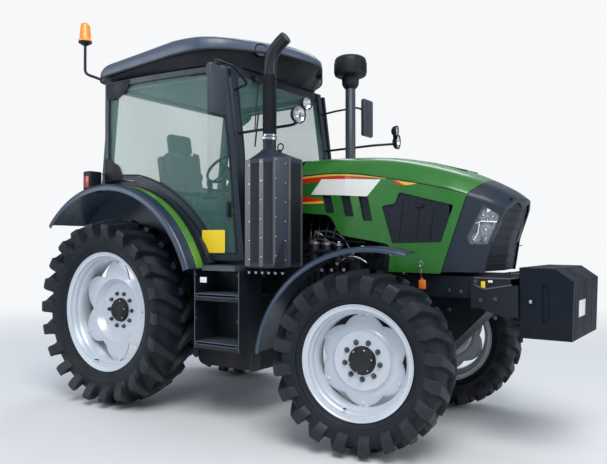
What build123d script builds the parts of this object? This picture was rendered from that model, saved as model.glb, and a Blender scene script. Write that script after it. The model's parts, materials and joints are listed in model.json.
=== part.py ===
"""Four-wheel-drive farm tractor with a cab, standing on its wheels.

Millimetres. +X forward, +Y to the tractor's left, +Z up. The origin lies on the ground under the
middle of the machine. Side outlines are drawn as (distance ahead of the rear axle, height).
"""

import os
from collections import namedtuple
from math import acos, atan2, ceil, cos, degrees, floor, radians, sin, sqrt, tan

from build123d import *

os.makedirs("parts", exist_ok=True)

# ---------------------------------------------------------------- driving sizes
wheelbase = 2414.0
front_reach = 3670.0  # front face of the weights, ahead of the rear axle
rear_reach = 950.0  # ball ends of the lower links, behind the rear axle
rear_axle_x = -(front_reach - rear_reach) / 2
front_axle_x = rear_axle_x + wheelbase

seat_gap = 0.3  # between pieces that are bolted or dropped in place
run_gap = 6.0  # between pieces that move past each other

rear_wheel_y = 800.0  # centre plane of a rear wheel
front_wheel_y = 782.0  # centre plane of a front wheel, steered straight
kingpin_y = 675.0
steer_rest = 10.0  # the wheels stand turned to the left

# ---------------------------------------------------------------- helpers


def side_plane(y=0.0):
    """Side view at a given width: local x ahead of the rear axle, local y height, normal to -Y."""
    return Plane(origin=(rear_axle_x, y, 0), x_dir=(1, 0, 0), z_dir=(0, -1, 0))


def cross_plane(ahead, height=0.0):
    """Rear view at a given distance ahead of the rear axle: local x to the left, local y up."""
    return Plane(origin=(rear_axle_x + ahead, 0, height), x_dir=(0, 1, 0), z_dir=(1, 0, 0))


def plan_plane(height):
    """Top view at a given height, measured from the rear axle."""
    return Plane(origin=(rear_axle_x, 0, height), x_dir=(1, 0, 0), z_dir=(0, 0, 1))


def write(piece, name):
    """Label a finished piece and write it."""
    piece.part.label = name
    export_step(piece.part, f"parts/{name}.step")


def mirrored(piece):
    """The same piece on the other side of the tractor."""
    with BuildPart() as other:
        mirror(piece.part, about=Plane.XZ)
    return other


def placed(piece, location):
    """A piece drawn at the origin, carried to its place."""
    with BuildPart() as there:
        with Locations(location):
            add(piece.part)
    return there


def slab(outline, y_from, y_to):
    """A side outline given thickness between two widths."""
    with BuildPart() as plate:
        with BuildSketch(side_plane(y_to)):
            with BuildLine():
                Polyline(*outline, close=True)
            make_face()
        extrude(amount=y_to - y_from)
    return plate


def flat_radius(radius, sides):
    """Corner radius of a polygon whose flats touch a circle."""
    return radius / cos(radians(180 / sides))


def faceted(rings):
    """Closed solid through rings of corner points, skinned with flat faces."""
    count = len(rings[0])
    skins = [rings[0], rings[-1]]
    for low, high in zip(rings, rings[1:]):
        for k in range(count):
            following = (k + 1) % count
            quad = [low[k], low[following], high[following], high[k]]
            across = (quad[1] - quad[0]).cross(quad[3] - quad[0])
            if abs(across.dot(quad[2] - quad[0])) < 1e-6 * across.length:
                skins.append(quad)
            else:
                skins.append(quad[:3])
                skins.append([quad[0], quad[2], quad[3]])
    return Solid(Shell([Face(Wire.make_polygon(skin, close=True)) for skin in skins]))


def ring(plane, height, radius, sides, turn=0.0):
    """Corners of a regular polygon across a plane's normal, at a distance along it."""
    angles = [radians(turn + 360 * k / sides) for k in range(sides)]
    return [plane.from_local_coords((radius * cos(a), radius * sin(a), height)) for a in angles]


def turned(plane, sections, sides):
    """Round piece on a plane's normal. Sections: distance along it, corner radius."""
    return faceted([ring(plane, height, radius, sides) for height, radius in sections])


def bands(sections, sides, turn=0.0):
    """Flat bands about the Y axis. Sections: place along Y, corner radius."""
    return faceted([ring(Plane.XZ, -y, radius, sides, turn) for y, radius in sections])


def pipe(points, radius, sides):
    """Bar bent through points (ahead of the rear axle, left, height), with mitred corners."""
    route = [Vector(rear_axle_x + x, y, z) for x, y, z in points]
    runs = [(b - a).normalized() for a, b in zip(route, route[1:])]
    start = Plane(origin=route[0], z_dir=runs[0])
    rings = [ring(start, 0, radius, sides)]
    for corner, before, after in zip(route[1:], runs, runs[1:] + runs[-1:]):
        mitre = before + after
        rings.append([p + before * ((corner - p).dot(mitre) / before.dot(mitre)) for p in rings[-1]])
    return faceted(rings)


# ---------------------------------------------------------------- wheels
TyreSize = namedtuple("TyreSize", "tip_radius lug_count lug_reach lug_width lug_height half_width")
rear_tyre = TyreSize(tip_radius=800, lug_count=22, lug_reach=70, lug_width=50, lug_height=58, half_width=172)
front_tyre = TyreSize(tip_radius=610, lug_count=20, lug_reach=56, lug_width=42, lug_height=50, half_width=164)
RimSize = namedtuple(
    "RimSize",
    "seat_radius flange_radius half_width lobe_offset plate_offset plate_radius cut_radius hub_radius",
)
# Offsets are outward from the middle plane of the wheel.
rear_rim = RimSize(483, 508, 148, 10, -35, 240, 100, 82)
front_rim = RimSize(356, 381, 143, -8, 20, 195, 74, 70)
lug_lean = 5.0  # the tread falls away from its middle
lug_inset = 3.0  # between the bars and the middle plane or the shoulder's edge
lug_draft = 12.0
rim_sides = 22
arc_step = 7.5  # degrees, in a faceted arc
round_sides = 16
pin_sides = 12
bulge = 16.0  # sidewall beyond the tread
wall_room = 4.0  # tyre beside the rim flange
rim_wall = 11.0
rim_lip = 12.0
disc_wall = 12.0
lobes = 6
cap_rise = 45.0  # hub cap in front of the disc


def tyre(size, rim):
    """A lugged tyre about the Y axis: a ring of flat bands and two rows of slanting bars."""
    lean = radians(lug_lean)
    corner = size.lug_reach + size.lug_width / 2
    top = sqrt(size.tip_radius**2 - corner**2)
    crest = top + lug_inset * sin(lean)
    carcass_radius = crest - 0.65 * size.lug_height
    shoulder_radius = carcass_radius - size.half_width * 2 * tan(lean)
    belly_radius = rim.flange_radius + 0.42 * (shoulder_radius - rim.flange_radius)
    crest_plane = Plane(origin=(0, 0, -crest), x_dir=(1, 0, 0), z_dir=(0, -sin(lean), -cos(lean)))
    half = size.lug_width / 2
    reach_out = size.half_width - 2 * lug_inset
    crest_corners = []
    for depth, spread in ((0, 0), (size.lug_height, size.lug_height * tan(radians(lug_draft)))):
        corners = (
            (-size.lug_reach - half - spread, lug_inset),
            (-size.lug_reach + half + spread, lug_inset),
            (size.lug_reach + half + spread, reach_out),
            (size.lug_reach - half - spread, reach_out),
        )
        crest_corners.append([crest_plane.from_local_coords((x, y, -depth)) for x, y in corners])
    with BuildPart() as lug:
        add(faceted(crest_corners))
    pitch = 360 / size.lug_count
    with BuildPart() as pair:
        add(lug.part)
        with Locations(Location((0, 0, 0), (0, pitch / 2, 0))):
            add(mirrored(lug).part)
    phase = pitch / 4 - degrees(atan2(corner, top))
    turns = [Location((0, 0, 0), (0, phase + k * pitch, 0)) for k in range(size.lug_count)]
    # The flats of the ring lie under the bars of one row.
    flats = -90 - phase + pitch / 2
    belly = size.half_width + bulge
    mouth = (
        (-belly - 1, belly_radius + 2),
        (-rim.half_width + rim_lip + seat_gap, rim.flange_radius + wall_room),
    )
    sides = size.lug_count
    funnel = bands([(y, flat_radius(radius, sides)) for y, radius in mouth], sides, flats)
    with BuildPart() as ring:
        add(
            bands(
                (
                    (-belly, belly_radius),
                    (-size.half_width, shoulder_radius),
                    (0, carcass_radius),
                    (size.half_width, shoulder_radius),
                    (belly, belly_radius),
                ),
                sides,
                flats,
            )
        )
        with Locations(*turns):
            add(pair.part)
        add(funnel, mode=Mode.SUBTRACT)
        mirror(funnel, about=Plane.XZ, mode=Mode.SUBTRACT)
        with BuildSketch(Plane.XZ):
            RegularPolygon(flat_radius(rim.seat_radius + seat_gap, sides), sides, rotation=flats)
        extrude(amount=belly, both=True, mode=Mode.SUBTRACT)
    return ring


def rim(size):
    """A right-hand wheel about the Y axis: barrel, lobed disc, centre plate and hub cap."""
    seat = size.seat_radius - seat_gap
    inner = seat - rim_wall
    wide = size.half_width
    lobe_y = -size.lobe_offset
    plate_y = -size.plate_offset
    cone_radius = size.plate_radius + 55
    # The centre plate is the bottom of a pan, which opens outward or inward.
    if plate_y > lobe_y:
        pan = ((lobe_y, cone_radius), (plate_y + disc_wall, size.plate_radius))
        hollow = ((lobe_y, cone_radius - disc_wall), (plate_y, size.plate_radius - disc_wall))
    else:
        pan = ((plate_y, size.plate_radius), (lobe_y + disc_wall, cone_radius))
        hollow = (
            (plate_y + disc_wall, size.plate_radius - disc_wall),
            (lobe_y + disc_wall, cone_radius - disc_wall),
        )
    with BuildPart() as wheel:
        with BuildSketch(Plane.XZ.offset(size.lobe_offset)):
            RegularPolygon(inner + 2, rim_sides)
            RegularPolygon(size.plate_radius - 10, rim_sides, mode=Mode.SUBTRACT)
            with PolarLocations(inner + size.cut_radius / 2, lobes):
                RegularPolygon(size.cut_radius, round_sides, mode=Mode.SUBTRACT)
        extrude(amount=-disc_wall)
        add(bands(pan, rim_sides))
        add(bands(hollow, rim_sides), mode=Mode.SUBTRACT)
        with BuildSketch(Plane.XZ.offset(-plate_y - disc_wall)):
            RegularPolygon(size.hub_radius, round_sides)
        extrude(amount=disc_wall + cap_rise)
        barrel = (
            (-wide, size.flange_radius),
            (-wide + rim_lip, seat),
            (wide - rim_lip, seat),
            (wide, size.flange_radius),
        )
        throat = size.flange_radius - rim_wall
        bore = ((-wide, throat), (-wide + rim_lip, inner), (wide - rim_lip, inner), (wide, throat))
        with BuildPart(mode=Mode.PRIVATE) as shell:
            add(bands(barrel, rim_sides))
            add(bands(bore, rim_sides), mode=Mode.SUBTRACT)
        add(shell.part)
    return wheel


rear_tyre_ring = tyre(rear_tyre, rear_rim)
front_tyre_ring = tyre(front_tyre, front_rim)
rear_wheel = rim(rear_rim)
front_wheel = rim(front_rim)
rear_axle_z = -rear_tyre_ring.part.bounding_box().min.Z
front_axle_z = -front_tyre_ring.part.bounding_box().min.Z

rear_right = Location((rear_axle_x, -rear_wheel_y, rear_axle_z))
for piece, name in ((rear_tyre_ring, "tyre_rear"), (rear_wheel, "rim_rear")):
    on_right = placed(piece, rear_right)
    write(on_right, f"{name}_right")
    write(mirrored(on_right), f"{name}_left")

# ---------------------------------------------------------------- front corners
# Drawn about the kingpin of the right-hand side, with the wheel straight ahead.
wheel_out = front_wheel_y - kingpin_y
boss_radius = 62.0
boss_half = 72.0
yoke_radius = 95.0
yoke_plate = 32.0
arm_back = 160.0
arm_plate = 20.0
pin_radius = 12.0
pin_hole = flat_radius(pin_radius + seat_gap, pin_sides)
fender_ahead = 79.0
fender_height = 530.0
fender_radius = 823.0
fender_wall = 5.0
fender_lip = 28.0
fender_inner_y = 60.0
fender_outer_y = -255.0
fender_front_angle = 72.0
fender_rear_angle = 174.0
bracket_y = 88.0
bracket_wall = 10.0
bracket_rear = -40.0
bracket_long = 60.0

right_corner = Location((front_axle_x, -kingpin_y, 0), (0, 0, steer_rest))
left_corner = Location((front_axle_x, kingpin_y, 0), (0, 0, steer_rest))


def write_corner(piece, name):
    """Write a kingpin-mounted piece for both sides, turned to the rest steering."""
    write(placed(piece, right_corner), f"{name}_right")
    write(placed(mirrored(piece), left_corner), f"{name}_left")


def arc_corners(centre, radius, start, end):
    """Corners of a faceted arc: its ends and every whole step between them."""
    whole = range(floor(start / arc_step) + 1, ceil(end / arc_step))
    angles = [radians(a) for a in (start, *[k * arc_step for k in whole], end)]
    return [(centre[0] + radius * cos(a), centre[1] + radius * sin(a)) for a in angles]


def arc_rise(radius, ahead):
    """Height of a faceted arc over its centre, at a distance ahead of it."""
    step = floor(degrees(acos(ahead / radius)) / arc_step)
    (x_low, z_low), (x_high, z_high) = arc_corners((0, 0), radius, step * arc_step, (step + 1) * arc_step)
    return z_low + (ahead - x_low) / (x_high - x_low) * (z_high - z_low)


def arched_sheet(plane, centre, radius, depth, start, end, width):
    """Part of a ring drawn on a side view, between two angles, given width along the normal."""
    outer = arc_corners(centre, radius, start, end)
    inner = arc_corners(centre, radius - depth, start, end)
    with BuildPart() as sheet:
        with BuildSketch(plane):
            with BuildLine():
                Polyline(*outer, *inner[::-1], close=True)
            make_face()
        extrude(amount=width)
    return sheet.part


yoke_top = front_axle_z + boss_half + yoke_plate
hub_face = wheel_out + front_rim.plate_offset - disc_wall - seat_gap
with BuildPart() as knuckle:
    for side in (-1, 1):
        with BuildSketch(Plane.XY.offset(front_axle_z + side * (boss_half + yoke_plate / 2))):
            RegularPolygon(yoke_radius, round_sides)
        extrude(amount=yoke_plate / 2, both=True)
    with BuildSketch(Plane.XY.offset(front_axle_z)):
        RegularPolygon(yoke_radius + 12, round_sides)
        RegularPolygon(yoke_radius - 10, round_sides, mode=Mode.SUBTRACT)
        with Locations((0, yoke_radius - 10)):
            Rectangle(4 * yoke_radius, 3 * yoke_radius - 40, mode=Mode.SUBTRACT)
    extrude(amount=boss_half + yoke_plate, both=True)
    with BuildSketch(Plane(origin=(0, -yoke_radius + 8, front_axle_z), x_dir=(1, 0, 0), z_dir=(0, -1, 0))):
        RegularPolygon(115, round_sides)
    extrude(amount=hub_face - yoke_radius + 8)
    with BuildSketch(Plane.XY.offset(front_axle_z - boss_half - yoke_plate - arm_plate)):
        with BuildLine():
            Polyline((50, 45), (50, -45), (-arm_back - 24, -26), (-arm_back - 24, 26), close=True)
        make_face()
        with Locations((-arm_back, 0)):
            RegularPolygon(pin_hole, pin_sides, mode=Mode.SUBTRACT)
    extrude(amount=arm_plate)
    with BuildSketch(Plane(origin=(bracket_rear, 0, 0), x_dir=(0, 1, 0), z_dir=(1, 0, 0))):
        with BuildLine():
            Polyline(
                (-40, yoke_top + bracket_wall / 2),
                (40, yoke_top + bracket_wall / 2),
                (bracket_y, yoke_top + 60),
                (bracket_y, 1262),
                (30, fender_height + fender_radius - fender_wall - 26),
            )
        trace(line_width=bracket_wall)
    extrude(amount=bracket_long)
    # Saddle under the fender: its rear edge meets the sheet.
    saddle_rise = arc_rise(fender_radius - fender_wall, bracket_rear - fender_ahead)
    saddle_z = fender_height + saddle_rise - seat_gap
    with BuildSketch(Plane.XY.offset(saddle_z - 30)):
        with Locations((bracket_rear + bracket_long / 2, 20)):
            Rectangle(bracket_long, 70)
    extrude(amount=30)
write_corner(knuckle, "knuckle")

with BuildPart() as front_fender:
    sheet_ends = (fender_front_angle, fender_rear_angle)
    width = fender_inner_y - fender_outer_y
    centre = (fender_ahead, fender_height)
    inner_plane = Plane.XZ.offset(-fender_inner_y)
    add(arched_sheet(inner_plane, centre, fender_radius, fender_wall, *sheet_ends, width))
    outer_plane = Plane.XZ.offset(-fender_outer_y - fender_wall)
    add(arched_sheet(outer_plane, centre, fender_radius, fender_lip, *sheet_ends, fender_wall))
write_corner(front_fender, "front_fender")

wheel_place = Location((0, -wheel_out, front_axle_z))
write_corner(placed(front_tyre_ring, wheel_place), "tyre_front")
write_corner(placed(front_wheel, wheel_place), "rim_front")

# ---------------------------------------------------------------- front axle and tie rod
axle_centre = (front_axle_x, 0, front_axle_z)
axle_bulge = 150.0
trunnion_radius = 55.0
trunnion_reach = 190.0
neck_radius = 50.0
axle_profile = ((-kingpin_y, neck_radius), (-540, neck_radius + 12), (-220, 88), (-120, axle_bulge))
axle_profile += ((60, axle_bulge), (200, 88), (540, neck_radius + 12), (kingpin_y, neck_radius))
with BuildPart() as front_axle:
    with Locations(axle_centre):
        add(bands(axle_profile, round_sides))
    with BuildSketch(Plane(origin=axle_centre, x_dir=(0, 1, 0), z_dir=(1, 0, 0))):
        RegularPolygon(trunnion_radius, round_sides)
    extrude(amount=trunnion_reach, both=True)
    with BuildSketch(Plane.XY.offset(front_axle_z)):
        with Locations((front_axle_x, kingpin_y), (front_axle_x, -kingpin_y)):
            RegularPolygon(boss_radius, round_sides)
    extrude(amount=boss_half - seat_gap, both=True)
write(front_axle, "front_axle")

turn = radians(steer_rest)
arm_z = front_axle_z - boss_half - yoke_plate - arm_plate
rod_x = front_axle_x - arm_back * cos(turn)
rod_right_y = -kingpin_y - arm_back * sin(turn)
rod_left_y = kingpin_y - arm_back * sin(turn)
rod_radius = 16.0
with BuildPart() as tie_rod:
    with BuildSketch(Plane(origin=(rod_x, rod_right_y, arm_z - 26), x_dir=(1, 0, 0), z_dir=(0, 1, 0))):
        RegularPolygon(rod_radius, pin_sides)
    extrude(amount=rod_left_y - rod_right_y)
    with BuildSketch(Plane.XY.offset(arm_z - seat_gap)):
        with Locations((rod_x, rod_right_y), (rod_x, rod_left_y)):
            RegularPolygon(26, pin_sides)
    extrude(amount=-46)
    with BuildSketch(Plane.XY.offset(arm_z - seat_gap)):
        with Locations((rod_x, rod_right_y), (rod_x, rod_left_y)):
            RegularPolygon(pin_radius, pin_sides)
    extrude(amount=arm_plate + seat_gap - 2)
write(tie_rod, "tie_rod")

# ---------------------------------------------------------------- frame, engine, transmission
frame_half = 150.0
deck_z = 1160.0
rail_bottom = 1015.0
rail_half = 343.0
engine_half = 180.0
engine_rear = 1500.0
engine_front = 2140.0
bracket_front = 3337.0
bracket_half = 395.0
with BuildPart() as front_frame:
    # Casting over the axle, with a pedestal at each end of the trunnion.
    under_axle = front_axle_z + axle_bulge + 40
    outline = (
        (engine_front + seat_gap, 700),
        (wheelbase - trunnion_reach - 70, front_axle_z - 60),
        (wheelbase - trunnion_reach - seat_gap, front_axle_z - 60),
        (wheelbase - trunnion_reach - seat_gap, under_axle),
        (wheelbase + trunnion_reach + seat_gap, under_axle),
        (wheelbase + trunnion_reach + seat_gap, front_axle_z - 60),
        (wheelbase + trunnion_reach + 80, front_axle_z - 60),
        (3040, 900),
        (3040, deck_z),
        (2490, deck_z),
        (2490, 1060),
        (engine_front + seat_gap, 1060),
    )
    add(slab(outline, -frame_half, frame_half).part)
    with BuildSketch(plan_plane(deck_z)):
        with Locations(((2490 + 3040) / 2, 0)):
            Rectangle(3040 - 2490, 2 * rail_half)
    extrude(amount=-12)
    for side in (-1, 1):
        with BuildSketch(plan_plane(deck_z)):
            with Locations(((2490 + 3040) / 2, side * (rail_half - 9))):
                Rectangle(3040 - 2490, 18)
        extrude(amount=rail_bottom - deck_z)
    # Weight bracket: cross plate, two cheeks and the bar that carries the weights.
    add(slab(((3028, 955), (3046, 955), (3046, 1150), (3028, deck_z)), -bracket_half, bracket_half).part)
    cheek = ((3030, deck_z), (3290, 1200), (3287, 893), (3080, 958), (3030, 958))
    add(slab(cheek, bracket_half - 14, bracket_half).part)
    add(slab(cheek, -bracket_half, -bracket_half + 14).part)
    bar = ((3250, 910), (bracket_front, 910), (bracket_front, 1110), (3250, 1110))
    add(slab(bar, -bracket_half, bracket_half).part)
write(front_frame, "front_frame")

weight_count = 12
weight_pitch = 62.0
weight_gap = 3.0
weight_outline = (
    (bracket_front + seat_gap, 779),
    (3655, 779),
    (front_reach, 1149),
    (3560, 1225),
    (bracket_front + seat_gap, 1227),
)
with BuildPart() as front_weights:
    for k in range(weight_count):
        left = (k - weight_count / 2) * weight_pitch
        add(slab(weight_outline, left, left + weight_pitch - weight_gap).part)
write(front_weights, "front_weights")

with BuildPart() as engine_block:
    with BuildSketch(plan_plane(650)):
        with Locations(((engine_rear + engine_front) / 2, 0)):
            Rectangle(engine_front - engine_rear, 2 * engine_half)
    extrude(amount=1500 - 650)
write(engine_block, "engine_block")

with BuildPart() as radiator:
    with BuildSketch(plan_plane(deck_z + seat_gap)):
        with Locations((2600, 0)):
            Rectangle(110, 600)
    extrude(amount=1660 - deck_z)
write(radiator, "radiator")

bell_half = 200.0
bell_top = 1169.7
rear_half = 240.0
rear_face = -280.0
axle_flange = rear_wheel_y - disc_wall + rear_rim.plate_offset - seat_gap
link_pin_x = -140.0
link_pin_z = 520.0
top_pin_x = -315.0
top_pin_z = 920.0
with BuildPart() as transmission:
    bell_front = engine_rear - seat_gap
    bell = ((1150, 560), (bell_front, 560), (bell_front, bell_top), (1200, bell_top), (1150, 1050))
    add(slab(bell, -bell_half, bell_half).part)
    add(slab(((300, 560), (1160, 560), (1160, 1060), (300, 1060)), -170, 170).part)
    centre = ((rear_face, 500), (320, 500), (320, 1150), (rear_face, 1150))
    add(slab(centre, -rear_half, rear_half).part)
    rear_centre = (rear_axle_x, 0, rear_axle_z)
    half_housing = (
        (axle_flange, 130),
        (axle_flange - 40, 130),
        (axle_flange - 60, 92),
        (330, 108),
        (rear_half - 10, 160),
    )
    housing = [(-y, radius) for y, radius in half_housing] + list(half_housing[::-1])
    with Locations(rear_centre):
        add(bands(housing, round_sides))
    with BuildSketch(cross_plane(rear_face, 700)):
        Circle(17.5)
    extrude(amount=-80)
    for side in (-1, 1):
        lug = (
            (rear_face + 10, top_pin_z - 35),
            (rear_face + 10, top_pin_z + 35),
            (top_pin_x - 25, top_pin_z + 25),
            (top_pin_x - 25, top_pin_z - 25),
        )
        add(slab(lug, side * 32 - 8, side * 32 + 8).part)
    with BuildSketch(side_plane()):
        with Locations((top_pin_x, top_pin_z)):
            RegularPolygon(pin_radius, pin_sides)
    extrude(amount=32, both=True)
    with BuildSketch(side_plane()):
        with Locations((link_pin_x, link_pin_z)):
            RegularPolygon(pin_radius, pin_sides)
    extrude(amount=rear_half + 48, both=True)
write(transmission, "transmission")

# ---------------------------------------------------------------- three-point hitch and drawbar
shaft_x = -200.0
shaft_radius = 45.0
shaft_z = 1150 + shaft_radius + seat_gap
arm_end_x = -500.0
arm_end_z = 1215.0
rod_y = 362.0
link_end_x = -rear_reach + 35
link_end_y = 420.0
link_near_y = 262.0
link_thick = 24.0
link_height = 56.0
ball_radius = 35.0
with BuildPart() as lift_arms:
    with BuildSketch(side_plane()):
        with Locations((shaft_x, shaft_z)):
            RegularPolygon(shaft_radius, round_sides)
    extrude(amount=325, both=True)
    for side in (-1, 1):
        blade = (
            (shaft_x + 20, shaft_z - 42),
            (shaft_x + 20, shaft_z + 42),
            (arm_end_x - 25, arm_end_z + 25),
            (arm_end_x - 25, arm_end_z - 25),
        )
        add(slab(blade, side * 312 - 12.5, side * 312 + 12.5).part)
        with BuildSketch(side_plane(-side * 312)):
            with Locations((arm_end_x, arm_end_z)):
                RegularPolygon(pin_radius, pin_sides)
        extrude(amount=side * 60)
write(lift_arms, "lift_arms")

with BuildPart() as lift_rods:
    for side in (-1, 1):
        with BuildSketch(plan_plane(link_pin_z + 20)):
            with Locations((arm_end_x, side * rod_y)):
                RegularPolygon(14, pin_sides)
        extrude(amount=arm_end_z - link_pin_z - 30)
        for height in (link_pin_z, arm_end_z):
            with BuildSketch(side_plane(side * rod_y)):
                with Locations((arm_end_x, height)):
                    RegularPolygon(28, pin_sides)
            extrude(amount=12, both=True)
            with BuildSketch(side_plane(side * rod_y)):
                with Locations((arm_end_x, height)):
                    RegularPolygon(pin_hole, pin_sides)
            extrude(amount=16, both=True, mode=Mode.SUBTRACT)
write(lift_rods, "lift_rods")

with BuildPart() as lower_links:
    for side in (-1, 1):
        with BuildSketch(plan_plane(link_pin_z)):
            with BuildLine():
                near, far = side * link_near_y, side * link_end_y
                half = link_thick / 2
                Polyline(
                    (link_pin_x + 45, near - half),
                    (link_pin_x - 60, near - half),
                    (link_end_x, far - half),
                    (link_end_x, far + half),
                    (link_pin_x - 60, near + half),
                    (link_pin_x + 45, near + half),
                    close=True,
                )
            make_face()
        extrude(amount=link_height / 2, both=True)
        with BuildSketch(side_plane(side * (link_end_y) + 22)):
            with Locations((link_end_x, link_pin_z)):
                RegularPolygon(ball_radius, round_sides)
        extrude(amount=44)
        with BuildSketch(side_plane(side * (link_end_y) + 30)):
            with Locations((link_end_x, link_pin_z)):
                Circle(14.2)
        extrude(amount=60, mode=Mode.SUBTRACT)
    with BuildSketch(side_plane()):
        with Locations((link_pin_x, link_pin_z)):
            RegularPolygon(pin_hole, pin_sides)
    extrude(amount=400, both=True, mode=Mode.SUBTRACT)
write(lower_links, "lower_links")

top_link_end = -870.0
top_eye_radius = 12.7
with BuildPart() as top_link:
    bar_start = (rear_axle_x + top_pin_x - 15, 0, top_pin_z)
    with BuildSketch(Plane(origin=bar_start, x_dir=(0, 1, 0), z_dir=(-1, 0, 0))):
        RegularPolygon(17, pin_sides)
    extrude(amount=top_pin_x - top_link_end - 30)
    with BuildSketch(side_plane()):
        with Locations((top_pin_x, top_pin_z), (top_link_end, top_pin_z)):
            RegularPolygon(30, round_sides)
    extrude(amount=22, both=True)
    with BuildSketch(side_plane()):
        with Locations((top_pin_x, top_pin_z)):
            RegularPolygon(pin_hole, pin_sides)
        with Locations((top_link_end, top_pin_z)):
            Circle(top_eye_radius)
    extrude(amount=30, both=True, mode=Mode.SUBTRACT)
write(top_link, "top_link")

drawbar_z = 400.0
drawbar_end = -640.0
with BuildPart() as drawbar:
    with BuildSketch(plan_plane(drawbar_z)):
        with Locations(((drawbar_end + 150) / 2, 0)):
            Rectangle(150 - drawbar_end, 80)
        with Locations((drawbar_end + 45, 0)):
            Circle(15.5, mode=Mode.SUBTRACT)
    extrude(amount=-38)
    hanger = ((-250, drawbar_z - 38), (-170, drawbar_z - 38), (-170, 500 - seat_gap), (-250, 500 - seat_gap))
    add(slab(hanger, -110, 110).part)
    front_hanger = ((70, drawbar_z - 1), (150, drawbar_z - 1), (150, 500 - seat_gap), (70, 500 - seat_gap))
    add(slab(front_hanger, -60, 60).part)
write(drawbar, "drawbar")

# ---------------------------------------------------------------- rear fenders
arch = (45, 822)  # centre of the rear fenders' arc
arch_radius = 1048.0
arch_wall = 6.0
arch_front = 20.0
arch_rear = 137.0
fender_in = 580.0
fender_out = 1000.0
rear_lip = 44.0
skirt_depth = 250.0
with BuildPart() as rear_fenders:
    for side in (-1, 1):
        near = fender_out if side < 0 else -fender_in
        far = fender_out if side < 0 else -(fender_out - arch_wall)
        wall = fender_in + arch_wall if side < 0 else -fender_in
        ends = (arch_front, arch_rear)
        top = arched_sheet(side_plane(-near), arch, arch_radius, arch_wall, *ends, -(fender_out - fender_in))
        lip = arched_sheet(side_plane(-far), arch, arch_radius, rear_lip, *ends, -arch_wall)
        skirt = arched_sheet(side_plane(-wall), arch, arch_radius, skirt_depth, *ends, -arch_wall)
        add(top)
        add(lip)
        add(skirt)
write(rear_fenders, "rear_fenders")

# ---------------------------------------------------------------- cab
floor_top = 1210.0
floor_wall = 40.0
roof_under = 2800.0
pillar_out = 655.0
pillar_in = 600.0
rear_pillar_out = 790.0
rear_pillar_in = 730.0
rail_radius = 1098.0
bulkhead_top = 2005.0
rear_sill_z = 1890.0

with BuildPart() as cab_floor:
    floor_outline = (
        (1325, floor_top - floor_wall),
        (462, floor_top - floor_wall),
        (383, 1620),
        (-188, 1639),
        (-222, rear_sill_z - seat_gap),
        (-182, rear_sill_z - seat_gap),
        (-152, 1681),
        (418, 1660),
        (497, floor_top),
        (1325, floor_top),
    )
    add(slab(floor_outline, -fender_in + seat_gap, fender_in - seat_gap).part)
    for side in (-1, 1):
        tread = ((1075, floor_top - 38), (1400, floor_top - 38), (1400, floor_top), (1075, floor_top))
        near, far = (fender_in - 5, 880) if side > 0 else (-880, -fender_in + 5)
        add(slab(tread, near, far).part)
    seat_base = ((120, 1650), (460, 1650), (420, 1719), (160, 1719))
    add(slab(seat_base, -170, 170).part)
write(cab_floor, "cab_floor")

# Door hinges: an upright pin on the frame at each end of the door's rear edge.
hinge_x = -128.0
hinge_y = 804.0
hinge_pin = 4.7
hinge_eye = 8.0
hinge_heights = (1990.0, 2690.0)
bracket_reach = {1990.0: 95.0, 2690.0: 20.0}  # back from the pin to the pillar, by height
hinge_foot = 14.0
hinge_rise = 40.0
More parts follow.
